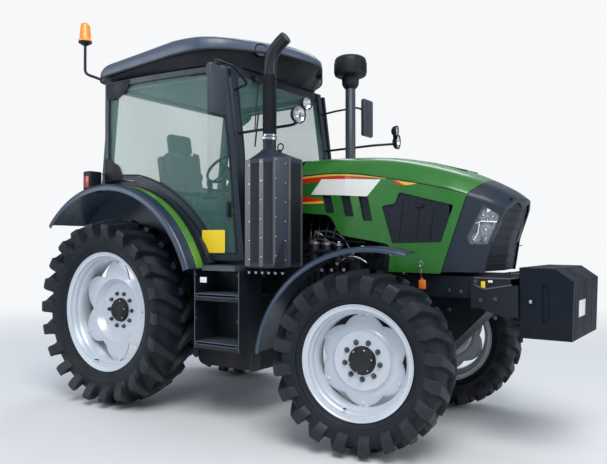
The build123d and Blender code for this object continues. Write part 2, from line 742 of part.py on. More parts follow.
# A pillar runs up the windscreen: distance ahead, height, along its front edge.
front_pillar = ((1330, floor_top + seat_gap), (1250, 2150), (1160, roof_under - seat_gap))
pillar_depth = 68.0
rear_pillar = ((-232, 1930), (-138, roof_under - seat_gap))
rear_pillar_depth = 74.0
ring_depth = 70.0
with BuildPart() as cab_frame:
    front_outline = front_pillar + tuple((x - pillar_depth, z) for x, z in reversed(front_pillar))
    rear_outline = rear_pillar + tuple((x + rear_pillar_depth, z) for x, z in reversed(rear_pillar))
    for side in (-1, 1):
        add(slab(front_outline, *sorted((side * pillar_in, side * pillar_out))).part)
        add(slab(rear_outline, *sorted((side * rear_pillar_in, side * rear_pillar_out))).part)
        rail_y = rear_pillar_out if side < 0 else -pillar_in
        rail_width = -(rear_pillar_out - pillar_in)
        depth = rail_radius - arch_radius - seat_gap
        add(arched_sheet(side_plane(-rail_y), arch, rail_radius, depth, 21.5, 104.5, rail_width))
        sill = ((1040, floor_top + seat_gap), (1330, floor_top + seat_gap), (1330, 1238), (1040, 1238))
        add(slab(sill, *sorted((side * pillar_in, side * pillar_out))).part)
    # Ring under the roof.
    with BuildSketch(plan_plane(roof_under - seat_gap)):
        with BuildLine():
            Polyline(
                (-150, -rear_pillar_out),
                (1158, -pillar_out),
                (1158, pillar_out),
                (-150, rear_pillar_out),
                close=True,
            )
        make_face()
        offset(amount=-60, mode=Mode.SUBTRACT)
    extrude(amount=-ring_depth)
    # Bulkhead under the windscreen and the sill of the rear window.
    foot = floor_top + seat_gap
    bulkhead = ((1322, foot), (1262, bulkhead_top), (1232, bulkhead_top), (1292, foot))
    add(slab(bulkhead, -pillar_in, pillar_in).part)
    rear_sill = ((-243, rear_sill_z), (-226, 1955), (-160, 1955), (-177, rear_sill_z))
    add(slab(rear_sill, -rear_pillar_out, rear_pillar_out).part)
    # Hinge brackets with their pins.
    for height in hinge_heights:
        reach = bracket_reach[height]
        with BuildSketch(plan_plane(height)):
            with BuildLine():
                Polyline(
                    (hinge_x - reach, rear_pillar_out - 4),
                    (hinge_x + 6, rear_pillar_out - 4),
                    (hinge_x + 6, hinge_y - 4),
                    (hinge_x - reach, hinge_y - 5),
                    close=True,
                )
            make_face()
            with Locations((hinge_x, hinge_y)):
                RegularPolygon(hinge_eye, pin_sides)
            mirror(about=Plane.XZ)
        extrude(amount=hinge_foot)
        with BuildSketch(plan_plane(height)):
            with Locations((hinge_x, hinge_y), (hinge_x, -hinge_y)):
                RegularPolygon(hinge_pin, pin_sides)
        extrude(amount=hinge_rise)
write(cab_frame, "cab_frame")

glass_wall = 6.0
screen_bottom = bulkhead_top + seat_gap
screen_top = roof_under - ring_depth - 2 * seat_gap
pane_gap = 0.3
with BuildPart() as cab_glass:
    screen = (
        (1243, screen_bottom),
        (1232, 2150),
        (1148, screen_top),
        (1140, screen_top),
        (1224, 2150),
        (1235, screen_bottom),
    )
    add(slab(screen, -pillar_in + pane_gap, pillar_in - pane_gap).part)
    rear_pane = ((-190, 1955 + pane_gap), (-112, screen_top), (-104, screen_top), (-182, 1955 + pane_gap))
    add(slab(rear_pane, -rear_pillar_in + pane_gap, rear_pillar_in - pane_gap).part)
write(cab_glass, "cab_glass")

roof_half = 862.0
roof_lamp_x = 1296.0
roof_lamp_y = 440.0
roof_lamp_z = 2958.0
roof_lamp_radius = 42.0
# Plan of the left edge: it tapers towards the front.
roof_edge = (
    (-240, roof_half - 60),
    (-180, roof_half),
    (930, roof_half),
    (1070, 785),
    (1160, 690),
    (1374, 350),
    (1430, 270),
    (1480, 150),
    (1500, 0),
)
with BuildPart() as cab_roof:
    with BuildSketch(side_plane(roof_half)):
        with BuildLine():
            under = Polyline((-150, roof_under), (1180, roof_under), (1290, 2880), (1500, 2935))
            nose_edge = Line(under @ 1, (1490, 2975))
            crown = ThreePointArc(nose_edge @ 1, (800, 3012), (60, 2962))
            tail = Line(crown @ 1, (-235, 2870))
            Line(tail @ 1, under @ 0)
        make_face()
    extrude(amount=2 * roof_half)
    with BuildSketch(plan_plane(roof_under - 50)):
        with BuildLine():
            Polyline(*roof_edge, *[(x, -y) for x, y in roof_edge[-2::-1]], close=True)
        make_face()
    extrude(amount=400, mode=Mode.INTERSECT)
    with BuildPart(mode=Mode.PRIVATE) as headroom:
        with BuildSketch(plan_plane(roof_under - 10)):
            with BuildLine():
                Polyline((-90, -735), (1100, -610), (1100, 610), (-90, 735), close=True)
            make_face()
        extrude(amount=200)
        section = ((-90, 2780), (1100, 2780), (1100, 2900), (1000, 2935), (150, 2935), (-90, 2870))
        add(slab(section, -740, 740).part, mode=Mode.INTERSECT)
    add(headroom.part, mode=Mode.SUBTRACT)
    with BuildSketch(cross_plane(roof_lamp_x - seat_gap)):
        with Locations((-roof_lamp_y, roof_lamp_z), (roof_lamp_y, roof_lamp_z)):
            RegularPolygon(flat_radius(roof_lamp_radius + seat_gap, round_sides), round_sides)
    extrude(amount=100, mode=Mode.SUBTRACT)
write(cab_roof, "cab_roof")

# Doors overlap the frame. They are drawn on the right and hinged at the rear.
door_gap = run_gap + 1
door_wall = 26.0
door_edge = 44.0
door_rear = -130.0
door_top = 2785.0
door_bottom = 1246.0
door_facets = 8  # across the bow of a door
door_radius = rail_radius + 8
door_start = degrees(atan2(sqrt(door_radius**2 - (door_rear - arch[0]) ** 2), door_rear - arch[0]))
door_finish = degrees(atan2(door_bottom - arch[1], sqrt(door_radius**2 - (door_bottom - arch[1]) ** 2)))


def door_face():
    """Side outline of a door: it follows the fender down to the sill."""
    with BuildSketch(side_plane(-950)) as outline:
        with BuildLine():
            Polyline(
                *arc_corners(arch, door_radius, door_finish, door_start),
                (door_rear, door_top),
                (front_pillar[2][0] + 4, door_top),
                (front_pillar[1][0] + 5, front_pillar[1][1]),
                (front_pillar[0][0] + 5, door_bottom),
                close=True,
            )
        make_face()
    return outline.sketch


def door_pane(inset):
    """The door's outline drawn in by a distance, with its corners kept."""
    return offset(door_face(), amount=-inset, kind=Kind.INTERSECTION, mode=Mode.PRIVATE)


def door_shell(inner, wall):
    """Bowed shell that the door is cut from, seen from above, right-hand side."""
    rear = (-300, -(rear_pillar_out + door_gap + 15 + inner))
    middle = (560, -(rear_pillar_out + door_gap + inner - 18))
    front = (1420, -(pillar_out + door_gap - 12 + inner))
    bow = ThreePointArc(rear, middle, front)
    face_in = [bow @ (k / door_facets) for k in range(door_facets + 1)]
    face_out = [point - Vector(0, wall, 0) for point in face_in[::-1]]
    with BuildPart() as shell:
        with BuildSketch(plan_plane(door_bottom - 50)):
            with BuildLine():
                Polyline(*face_in, *face_out, close=True)
            make_face()
        extrude(amount=1800)
    return shell.part


with BuildPart() as door_frame_right:
    extrude(door_face(), amount=-500)
    extrude(door_pane(door_edge), amount=-600, mode=Mode.SUBTRACT)
    add(door_shell(0, door_wall), mode=Mode.INTERSECT)
    for height in hinge_heights:
        with BuildSketch(plan_plane(height + hinge_foot + seat_gap)):
            with Locations((hinge_x, -hinge_y)):
                RegularPolygon(hinge_eye, pin_sides)
            with Locations((hinge_x + 6, -hinge_y - 8)):
                Rectangle(16, 16)
            with Locations((hinge_x, -hinge_y)):
                RegularPolygon(flat_radius(hinge_pin + seat_gap, pin_sides), pin_sides, mode=Mode.SUBTRACT)
        extrude(amount=hinge_rise - hinge_foot - 2)
with BuildPart() as door_glass_right:
    extrude(door_pane(door_edge + pane_gap), amount=-500)
    add(door_shell(8, glass_wall), mode=Mode.INTERSECT)
for piece, name in ((door_frame_right, "door_frame"), (door_glass_right, "door_glass")):
    write(piece, f"{name}_right")
    write(mirrored(piece), f"{name}_left")

# ---------------------------------------------------------------- inside the cab
with BuildPart() as seat:
    seat_foot = 1719 + seat_gap
    cushion = ((70, seat_foot), (530, seat_foot), (540, 1800), (500, 1835), (120, 1815), (70, 1790))
    add(slab(cushion, -245, 245).part)
    back_rest = (
        (120, 1800),
        (80, 2000),
        (20, 2230),
        (-15, 2262),
        (-65, 2240),
        (-50, 2000),
        (20, 1760),
        (70, 1740),
    )
    add(slab(back_rest, -230, 230).part)
    head_rest = ((0, 2240), (-25, 2400), (-60, 2440), (-115, 2420), (-90, 2240))
    add(slab(head_rest, -150, 150).part)
write(seat, "seat")

wheel_hub_x = 520.0
wheel_hub_z = 2070.0
column_angle = 40.0  # the steering shaft from the vertical
steering_radius = 190.0
column_axis = (sin(radians(column_angle)), 0, -cos(radians(column_angle)))
column_plane = Plane(
    origin=(rear_axle_x + wheel_hub_x, 0, wheel_hub_z),
    x_dir=(0, 1, 0),
    z_dir=column_axis,
)
with BuildPart() as steering_column:
    pedestal = (
        (1180, floor_top + seat_gap),
        (860, floor_top + seat_gap),
        (760, 1680),
        (700, 1900),
        (780, 1985),
        (1150, 1985),
    )
    add(slab(pedestal, -170, 170).part)
    with BuildSketch(column_plane.offset(30)):
        RegularPolygon(32, pin_sides)
    extrude(amount=240)
write(steering_column, "steering_column")

wheel_sides = 24
with BuildPart() as steering_wheel:
    with BuildSketch(column_plane.offset(-14)):
        RegularPolygon(steering_radius, wheel_sides)
        RegularPolygon(steering_radius - 28, wheel_sides, mode=Mode.SUBTRACT)
        RegularPolygon(50, pin_sides)
        with PolarLocations(steering_radius / 2 - 5, 3, 90):
            Rectangle(steering_radius - 30, 26)
    extrude(amount=26)
    with BuildSketch(column_plane):
        RegularPolygon(26, pin_sides)
    extrude(amount=30 - seat_gap)
write(steering_wheel, "steering_wheel")

# ---------------------------------------------------------------- hood
# Columns: station, half width, crease height, half width of the top, its edge height, crown height.
hood_sections = (
    (1300, 398, 1895, 330, 2012, 2050),
    (1600, 400, 1903, 330, 2019, 2062),
    (1900, 401, 1905, 330, 2020, 2062),
    (2150, 401, 1888, 328, 2008, 2050),
    (2400, 400, 1862, 325, 1985, 2026),
    (2650, 395, 1812, 315, 1932, 1975),
    (2880, 385, 1748, 300, 1865, 1905),
    (3000, 367, 1711, 274, 1818, 1856),
    (3120, 335, 1672, 240, 1765, 1797),
    (3210, 284, 1632, 202, 1714, 1746),
    (3285, 210, 1590, 150, 1660, 1690),
)
hood_taper = 2880.0  # the nose narrows from here to the last station
hood_wall = 8.0
hood_bottom = 1100.0
hood_rear = 1652.0
cowl_front = 1618.0
hood_pin_x = 1660.0
hood_pin_z = 2026.0
hood_pin_radius = 8.0


def hood_loft(shrink):
    """The whole hood as one body, with its wall taken off all round."""
    rings = []
    for x, half, crease, top_half, top_z, crown in hood_sections:
        share = max(0, x - hood_taper) / (hood_sections[-1][0] - hood_taper)
        section = cross_plane(x - 2.5 * shrink * share**2)
        side, edge, brow = half - shrink, top_half - 0.7 * shrink, top_z - shrink
        left = (
            (side, hood_bottom),
            (side, crease - shrink / 2),
            (edge, brow),
            (0.62 * edge, brow + 0.62 * (crown - top_z)),
            (0, crown - shrink),
        )
        outline = left + tuple((-y, z) for y, z in left[-2::-1])
        rings.append([section.from_local_coords((y, z, 0)) for y, z in outline])
    return faceted(rings)


hood_solid = hood_loft(0)
hood_hollow = hood_loft(hood_wall)
split_line = ((2815, 1174), (3000, 1722), (3070, 1790), (3110, 2120))
front_line = ((3142, 1188), (3182, 1418), (3290, 1692), (3290, 2120))


def skin(outline):
    """The part of the hood's wall that lies inside a side outline."""
    with BuildPart() as wall:
        add(slab(outline, -500, 500).part)
        add(hood_solid, mode=Mode.INTERSECT)
        add(hood_hollow, mode=Mode.SUBTRACT)
    return wall.part


hood_outline = (
    (hood_rear, 2120),
    (hood_rear, 1618),
    (1933, 1594),
    (2020, 1443),
    (2450, 1372),
    (2421, 1179),
) + split_line
# Slanting vents: x of the upper rear corner, upper height, lower height.
vents = ((1880, 1752, 1612), (1990, 1748, 1590), (2100, 1740, 1545))
vent_width = 66.0
vent_slant = 0.62
grille_outline = ((2510, 1743), (2905, 1640), (2818, 1388), (2452, 1380), (2372, 1648), (2474, 1662))
with BuildPart() as hood_shell:
    add(skin(hood_outline))
    for x, upper, lower in vents:
        run = vent_slant * (upper - lower) / 1.5
        slot = ((x, upper), (x + vent_width, upper - 4), (x + vent_width + run, lower), (x + run, lower + 4))
        add(slab(slot, -500, 500).part, mode=Mode.SUBTRACT)
    add(slab(grille_outline, -500, 500).part, mode=Mode.SUBTRACT)
    for side in (-1, 1):
        block = ((1652, 2008), (1690, 2008), (1690, 2060), (1652, 2060))
        add(slab(block, side * 100 - 8, side * 100 + 8).part)
    with BuildSketch(side_plane()):
        with Locations((hood_pin_x, hood_pin_z)):
            RegularPolygon(flat_radius(hood_pin_radius + seat_gap, pin_sides), pin_sides)
    extrude(amount=130, both=True, mode=Mode.SUBTRACT)
write(hood_shell, "hood_shell")

with BuildPart() as cowl:
    add(skin(((1330, 2120), (1330, 1300), (cowl_front, 1300), (cowl_front, 2120))))
    for side in (-1, 1):
        tongue = ((1540, 2012), (1672, 2012), (1672, 2031), (1624, 2031), (1612, 2050), (1540, 2050))
        add(slab(tongue, side * 80 - 6, side * 80 + 6).part)
        with BuildSketch(side_plane(-side * 80)):
            with Locations((hood_pin_x, hood_pin_z)):
                RegularPolygon(hood_pin_radius, pin_sides)
        extrude(amount=side * 28)
    bulk = ((1500, 1500 + seat_gap), (1560, 1500 + seat_gap), (1560, 2000), (1500, 2000))
    add(slab(bulk, -393, 393).part)
write(cowl, "cowl")

# Lamps in the nose: a slanting pane on each side, seen from the side.
lamp_outline = ((3098, 1640), (3212, 1563), (3178, 1376), (3010, 1376), (2990, 1424))
lamp_inner = 225.0
with BuildPart() as nose:
    add(skin(tuple((x + seat_gap, z) for x, z in split_line[::-1]) + ((2822, 1188),) + front_line))
    for side in (-1, 1):
        add(slab(lamp_outline, *sorted((side * lamp_inner, side * 420))).part, mode=Mode.SUBTRACT)
write(nose, "nose")

grille_gap = 0.3
with BuildPart() as side_grilles:
    for side in (-1, 1):
        near, far = sorted((side * 377, side * (400 - hood_wall - grille_gap)))
        with BuildSketch(side_plane(far)):
            with BuildLine():
                Polyline(*grille_outline, close=True)
            make_face()
            offset(amount=6, kind=Kind.INTERSECTION, mode=Mode.REPLACE)
        extrude(amount=far - near)
    add(hood_loft(hood_wall + grille_gap), mode=Mode.INTERSECT)
write(side_grilles, "side_grilles")

lamp_depth = 45.0
with BuildPart() as headlamps:
    add(hood_solid)
    add(hood_loft(hood_wall + lamp_depth), mode=Mode.SUBTRACT)
    with BuildPart(mode=Mode.PRIVATE) as lamp_block:
        for side in (-1, 1):
            with BuildSketch(side_plane(side * 420 if side > 0 else -lamp_inner - seat_gap)):
                with BuildLine():
                    Polyline(*lamp_outline, close=True)
                make_face()
                offset(amount=-seat_gap, kind=Kind.INTERSECTION, mode=Mode.REPLACE)
            extrude(amount=420 - lamp_inner - seat_gap)
    add(lamp_block.part, mode=Mode.INTERSECT)
write(headlamps, "headlamps")

# ---------------------------------------------------------------- exhaust
box_x = 1635.0
box_y = -705.0
box_long = 390.0
box_wide = 330.0
box_corner = 82.0
box_bottom = 1203.0
box_top = 2000.0
cone_top = 2072.0
stack_x = 1602.0
stack_y = -718.0
stack_radius = 50.0
shelf_wall = 30.0
with BuildPart() as exhaust_box:
    with BuildSketch(plan_plane(box_bottom)) as box_face:
        with Locations((box_x, box_y)):
            Rectangle(box_long, box_wide)
        chamfer(box_face.vertices(), box_corner)
    extrude(amount=box_top - box_bottom)
    rings = []
    cone_ends = (
        (box_x, box_y, box_top, box_long / 2 - 10, box_wide / 2 - 10, box_corner - 8),
        (stack_x, stack_y, cone_top, 75, 75, 40),
    )
    for x, y, height, long, wide, cut in cone_ends:
        quarter = ((long, wide - cut), (long - cut, wide))
        signs = ((1, 1), (-1, 1), (-1, -1), (1, -1))
        corners = [(i * u, j * v) for i, j in signs for u, v in quarter[:: i * j]]
        rings.append([Vector(rear_axle_x + x + u, y + v, height) for u, v in corners])
    add(faceted(rings))
    # Shelf and gusset that carry it from the side of the clutch housing.
    shelf_z = box_bottom - shelf_wall
    shelf = ((box_x - 190, shelf_z), (1810, shelf_z), (1810, box_bottom), (box_x - 190, box_bottom))
    add(slab(shelf, box_y - 150, -engine_half - 25).part)
    gusset = ((1445, 1000), (1495, 1000), (1495, box_bottom), (1445, box_bottom))
    add(slab(gusset, -bell_half - 40, -bell_half - seat_gap).part)
write(exhaust_box, "exhaust_box")

stack_route = ((0, cone_top + seat_gap), (0, 2690), (14, 2755), (50, 2812), (100, 2858), (148, 2890))
stack_points = [(stack_x + ahead, stack_y, height) for ahead, height in stack_route]
with BuildPart() as exhaust_stack:
    add(pipe(stack_points, stack_radius, round_sides))
    add(pipe(stack_points, stack_radius - 5, round_sides), mode=Mode.SUBTRACT)
write(exhaust_stack, "exhaust_stack")

# ---------------------------------------------------------------- air cleaner
cleaner_x = 1600.0
cleaner_y = 470.0
cleaner_pipe = 45.0
cleaner_z = 2800.0
cleaner_profile = (
    (1880, cleaner_pipe),
    (cleaner_z - 5, cleaner_pipe),
    (cleaner_z, 75),
    (cleaner_z + 60, 82),
    (cleaner_z + 80, 142),
    (cleaner_z + 215, 142),
    (cleaner_z + 245, 120),
    (cleaner_z + 262, 40),
)
with BuildPart() as air_cleaner:
    add(turned(Plane((rear_axle_x + cleaner_x, cleaner_y, 0)), cleaner_profile, round_sides))
    with BuildSketch(side_plane(cleaner_y)):
        with Locations((cleaner_x, 1926)):
            RegularPolygon(cleaner_pipe, round_sides)
    extrude(amount=cleaner_y - 400.7 - seat_gap)
write(air_cleaner, "air_cleaner")

# ---------------------------------------------------------------- mirrors, lamps and beacon
mirror_x = 1420.0
mirror_y = 1100.0
mirror_heights = {-1: 2475, 1: 2615}  # right and left heads, each slid along its arm
tube_radius = 10.0
tube_sides = 8
with BuildPart() as mirrors:
    for side in (-1, 1):
        arm = (
            (1189.8, side * 628, 2600),
            (1330, side * 645, 2620),
            (mirror_x - 10, side * 900, 2690),
            (mirror_x, side * mirror_y, 2690),
            (mirror_x, side * mirror_y, 2600),
        )
        add(pipe(arm, tube_radius, tube_sides))
        with BuildSketch(cross_plane(mirror_x - 22)) as mirror_face:
            with Locations((side * mirror_y, mirror_heights[side])):
                Rectangle(190, 370)
            chamfer(mirror_face.vertices(), 45)
        extrude(amount=44)
write(mirrors, "mirrors")

with BuildPart() as lamps:
    for side in (-1, 1):
        # Front work lamps on an arm from the windscreen pillar.
        arm = ((1238, side * 628, 2250), (1760, side * 628, 2262), (1900, side * 738, 2275))
        add(pipe(arm, 11, tube_sides))
        for ahead, out, height, radius in ((1868, 775, 2300, 70), (1890, 705, 2388, 52)):
            with BuildSketch(cross_plane(ahead)):
                with Locations((side * out, height)):
                    RegularPolygon(radius, round_sides)
            extrude(amount=55)
        with BuildSketch(cross_plane(roof_lamp_x)):
            with Locations((side * roof_lamp_y, roof_lamp_z)):
                RegularPolygon(roof_lamp_radius, round_sides)
        extrude(amount=62)
        # Rear lamps on the fenders.
        tail = ((-268, 1824.4), (-160, 1852), (-160, 2010), (-268, 2010))
        add(slab(tail, *sorted((side * 840, side * 970))).part)
write(lamps, "lamps")

beacon_x = -385.0
beacon_y = -860.0
beacon_top = 3366.0
beacon_base = 3190.0
with BuildPart() as beacon:
    post = (
        (-227, -770, 2850),
        (-262, -770, 2850),
        (beacon_x, beacon_y, 2910),
        (beacon_x, beacon_y, beacon_base),
    )
    add(pipe(post, 13, tube_sides))
    beacon_rise = beacon_top - beacon_base
    dome = ((-10, 60), (24, 60), (24.5, 50), (beacon_rise - 12, 38), (beacon_rise, 26))
    add(turned(Plane((rear_axle_x + beacon_x, beacon_y, beacon_base)), dome, round_sides))
write(beacon, "beacon")

# ---------------------------------------------------------------- steps and fuel tank
step_front = 1440.0
step_rear = 985.0
step_inner = 605.0
step_outer = 872.0
step_wall = 6.0
step_base = 560.0
tread_wall = 28.0
treads = (600, 968)
step_top = floor_top - 38 - seat_gap
with BuildPart() as steps:
    for side in (-1, 1):
        near, far = sorted((side * step_inner, side * step_outer))
        for x in (step_rear, step_front - step_wall):
            cheek = ((x, step_base), (x + step_wall, step_base), (x + step_wall, step_top), (x, step_top))
            add(slab(cheek, near, far).part)
        back = sorted((side * step_inner, side * (step_inner + step_wall)))
        ends = ((step_rear, step_base), (step_front, step_base), (step_front, step_top), (step_rear, step_top))
        add(slab(ends, *back).part)
        for height in treads:
            low = height - tread_wall
            tread = ((step_rear, low), (step_front, low), (step_front, height), (step_rear, height))
            add(slab(tread, near, far).part)
write(steps, "steps")

tank_front = 1420.0
tank_rear = 760.0
tank_bottom = 385.0
tank_top = 985.0
with BuildPart() as fuel_tank:
    with BuildSketch(side_plane(-bell_half - seat_gap)):
        with BuildLine():
            Polyline(
                (tank_rear, tank_bottom),
                (tank_front, tank_bottom),
                (tank_front, tank_top),
                (tank_rear, tank_top),
                close=True,
            )
        make_face()
    extrude(amount=step_inner - 12 - bell_half)
    fillet(fuel_tank.edges().filter_by(Axis.Y), 70)
write(fuel_tank, "fuel_tank")
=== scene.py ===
"""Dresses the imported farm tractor: smooth body panels, wheels, lamps, cab fittings, materials and a studio."""

import json
import math

import bmesh
import bpy
import numpy as np
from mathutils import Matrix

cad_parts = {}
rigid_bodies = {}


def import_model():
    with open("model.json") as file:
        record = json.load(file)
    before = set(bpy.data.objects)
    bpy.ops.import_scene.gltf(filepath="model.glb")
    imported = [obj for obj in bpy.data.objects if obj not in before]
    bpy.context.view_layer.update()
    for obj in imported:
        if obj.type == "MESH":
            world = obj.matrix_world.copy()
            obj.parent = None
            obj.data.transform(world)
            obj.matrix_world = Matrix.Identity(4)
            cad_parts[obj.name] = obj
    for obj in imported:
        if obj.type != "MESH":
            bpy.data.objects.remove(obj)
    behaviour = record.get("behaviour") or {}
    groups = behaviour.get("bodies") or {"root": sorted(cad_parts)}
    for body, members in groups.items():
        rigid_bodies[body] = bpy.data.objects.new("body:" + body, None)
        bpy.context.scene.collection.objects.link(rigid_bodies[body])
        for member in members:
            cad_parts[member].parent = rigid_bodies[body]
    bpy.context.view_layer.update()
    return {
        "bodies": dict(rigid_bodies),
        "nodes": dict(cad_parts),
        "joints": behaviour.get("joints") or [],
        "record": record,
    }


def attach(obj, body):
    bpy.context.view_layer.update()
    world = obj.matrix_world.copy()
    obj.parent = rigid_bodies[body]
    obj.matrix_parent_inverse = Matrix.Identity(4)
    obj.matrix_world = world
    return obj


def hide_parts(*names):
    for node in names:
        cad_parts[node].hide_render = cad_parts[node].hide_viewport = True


bl_info = {
    "name": "Farm Tractor Dressing",
    "version": (1, 0, 0),
    "blender": (4, 5, 0),
    "location": "View3D > Sidebar > Tractor",
    "description": "Builds the smooth panels, wheels, cab fittings and materials of a farm tractor over its solids",
    "category": "Add Mesh",
}

TRACTOR = {}  # what import_model() returned, and the shared materials by name

# ---- sizes
# Millimetres. Side tables are (ahead of the rear axle, height).
REAR_AXLE = -1360.0
ARCH = (45.0, 822.0)
HOOD_SECTIONS = np.array([
    # station, half width, crease height, half width of the top, its edge height, crown height
    (1640, 400, 1904, 330, 2019, 2062),
    (1900, 401, 1905, 330, 2020, 2062),
    (2150, 401, 1888, 328, 2008, 2050),
    (2400, 400, 1862, 325, 1985, 2026),
    (2650, 395, 1812, 315, 1932, 1975),
    (2880, 385, 1748, 300, 1865, 1905),
    (3000, 367, 1711, 274, 1818, 1856),
    (3120, 335, 1672, 240, 1765, 1797),
    (3210, 284, 1632, 202, 1714, 1746),
    (3285, 210, 1590, 150, 1660, 1690),
], float)
SPLIT_LINE = ((2815, 1174), (3000, 1722), (3070, 1790), (3110, 2120))
FRONT_LINE = ((3142, 1188), (3182, 1418), (3290, 1692), (3290, 2120))
HOOD_OUTLINE = (
    (1652, 2120), (1652, 1618), (1933, 1594), (2020, 1443), (2450, 1372), (2421, 1179),
    (2811, 1174), (2996, 1722), (3066, 1790), (3106, 2120),
)
GRILLE_OUTLINE = ((2510, 1743), (2905, 1640), (2818, 1388), (2452, 1380), (2372, 1648), (2474, 1662))
VENTS = ((1862, 1752, 1608), (2026, 1748, 1578), (2176, 1738, 1542))
FRONT_ARCH = (79, 530)  # centre of the front fenders' arc, from the kingpin and the ground
NOSE_SWEEP = 0.12  # how far the nose's front falls back for each unit across
LAMP_OUTLINE = ((3098, 1640), (3198, 1568), (3128, 1378), (3010, 1378), (2992, 1424))

WHEELS = {
    # body: tyre and rim table, side, centre in metres, turn about the upright in degrees
    "rear_right": ("rear", -1, (-1.360, -0.800, 0.79796), 0.0),
    "rear_left": ("rear", 1, (-1.360, 0.800, 0.79796), 0.0),
    "front_right": ("front", -1, (1.07258, -0.78038, 0.60812), 10.0),
    "front_left": ("front", 1, (1.03542, 0.78038, 0.60812), 10.0),
}
TYRES = {
    "rear": dict(tip=797.6, bars=22, reach=70, width=50, height=56, half=172, crown=757, shoulder=702, belly=600,
                 drop=50,
                 seat=483, flange=508),
    "front": dict(tip=607.8, bars=20, reach=56, width=44, height=48, half=164, crown=573, shoulder=524, belly=450,
                  drop=36,
                  seat=356, flange=381),
}
RIMS = {
    "rear": dict(seat=482, flange=507, half=148, lobe=10, plate=-35, plate_radius=240, hub=100, nuts=10, nut_ring=146),
    "front": dict(seat=355, flange=380, half=143, lobe=-8, plate=20, plate_radius=200, hub=92, nuts=9, nut_ring=124),
}


# ---- settings a user would change
class TractorColours(bpy.types.PropertyGroup):
    """Paint colours and dust of the tractor."""

    body: bpy.props.FloatVectorProperty(
        name="Body paint", description="Colour of the hood panels", subtype="COLOR", size=3,
        default=(0.026, 0.165, 0.024), min=0, max=1)
    panel: bpy.props.FloatVectorProperty(
        name="Dark panels", description="Colour of the roof, fenders and nose", subtype="COLOR", size=3,
        default=(0.012, 0.021, 0.036), min=0, max=1)
    rim: bpy.props.FloatVectorProperty(
        name="Rims", description="Colour of the wheel rims", subtype="COLOR", size=3,
        default=(0.60, 0.65, 0.71), min=0, max=1)
    stripe_red: bpy.props.FloatVectorProperty(
        name="Red stripe", description="Colour of the red side stripes", subtype="COLOR", size=3,
        default=(0.56, 0.028, 0.012), min=0, max=1)
    stripe_yellow: bpy.props.FloatVectorProperty(
        name="Yellow stripe", description="Colour of the yellow side stripes", subtype="COLOR", size=3,
        default=(0.80, 0.46, 0.045), min=0, max=1)
    dust: bpy.props.FloatProperty(
        name="Dust", description="How much dust lies on the lower parts", subtype="FACTOR",
        default=0.35, min=0, max=1)


class TractorSizes(bpy.types.PropertyGroup):
    """Sizes of the dressing that a user would change."""

    segments: bpy.props.IntProperty(
        name="Round segments", description="Segments around a large wheel", default=132, min=44, max=264)
    nut_size: bpy.props.FloatProperty(
        name="Wheel nut", description="Width across a wheel nut", unit="LENGTH", subtype="DISTANCE",
        default=0.027, min=0.01, max=0.05)
    pad_rise: bpy.props.FloatProperty(
        name="Seat fullness", description="How far the seat's pads may swell", unit="LENGTH", subtype="DISTANCE",
        default=0.024, min=0.0, max=0.05)


# ---- shapes
def metres(points):
    """Side-table millimetres (ahead of the rear axle, left, height) to frame metres."""
    points = np.asarray(points, float)
    return (points + np.array([REAR_AXLE, 0.0, 0.0])) * 0.001


def around(count):
    """Even angles round a full turn, without the closing one."""
    return np.linspace(0, 2 * np.pi, count, endpoint=False)


class Shape:
    """Parametric sheets gathered into one mesh."""

    def __init__(self):
        self.points, self.faces, self.count = [], [], 0

    def sheet(self, grid, wrap_u=False, wrap_v=False, caps=False):
        """A grid of points P[i, j] skinned by quads (i, j)-(i+1, j+1).

        wrap_u joins the last row to the first, wrap_v the last column; caps close the two end rings with polygons.
        """
        grid = np.asarray(grid, float)
        rows, columns = grid.shape[:2]
        i = np.arange(rows if wrap_u else rows - 1)[:, None]
        j = np.arange(columns if wrap_v else columns - 1)[None, :]
        following_i, following_j = (i + 1) % rows, (j + 1) % columns
        quads = np.stack(np.broadcast_arrays(
            i * columns + j, following_i * columns + j, following_i * columns + following_j, i * columns + following_j,
        ), -1).reshape(-1, 4) + self.count
        self.faces += quads.tolist()
        if caps:
            self.faces.append((np.arange(columns) + self.count).tolist())
            self.faces.append((np.arange(columns) + self.count + (rows - 1) * columns).tolist())
        self.points.append(grid.reshape(-1, 3))
        self.count += rows * columns
        return self

    def moved(self, function):
        """The same faces over points carried by a function of an (n, 3) array."""
        other = Shape()
        other.points = [function(block) for block in self.points]
        other.faces, other.count = list(self.faces), self.count
        return other

    def add(self, *others):
        for other in others:
            self.faces += [[k + self.count for k in face] for face in other.faces]
            self.points += other.points
            self.count += other.count
        return self


def capped(rings):
    """Closed body in side-table millimetres: each row P[i] is a ring, and the two end rings are capped."""
    return Shape().sheet(metres(rings), wrap_v=True, caps=True)


def both_sides(shape):
    """A shape and its mirror image about the middle plane y = 0."""
    return Shape().add(shape, shape.moved(lambda p: p * (1, -1, 1)))


def prism(outline, low, high, axis="y", inset=0.0):
    """Outline (u, v) in millimetres extruded from low to high along an axis.

    P(t, k) = outline[k] at t, for t in (low, low+i, high-i, high), with the end rings shrunk by the inset i.
    axis "y": outline is (ahead, height); "x": (left, height); "z": (ahead, left).
    """
    flat = np.asarray(outline, float)
    shrunk = inward(flat, inset) if inset else flat
    rings = [(low, shrunk), (low + inset, flat), (high - inset, flat), (high, shrunk)] if inset else [
        (low, flat), (high, flat)]
    grid = []
    for along, ring in rings:
        level = np.full(len(ring), float(along))
        columns = {"y": (ring[:, 0], level, ring[:, 1]), "x": (level, ring[:, 0], ring[:, 1]),
                   "z": (ring[:, 0], ring[:, 1], level)}[axis]
        grid.append(np.stack(columns, -1))
    return capped(grid)


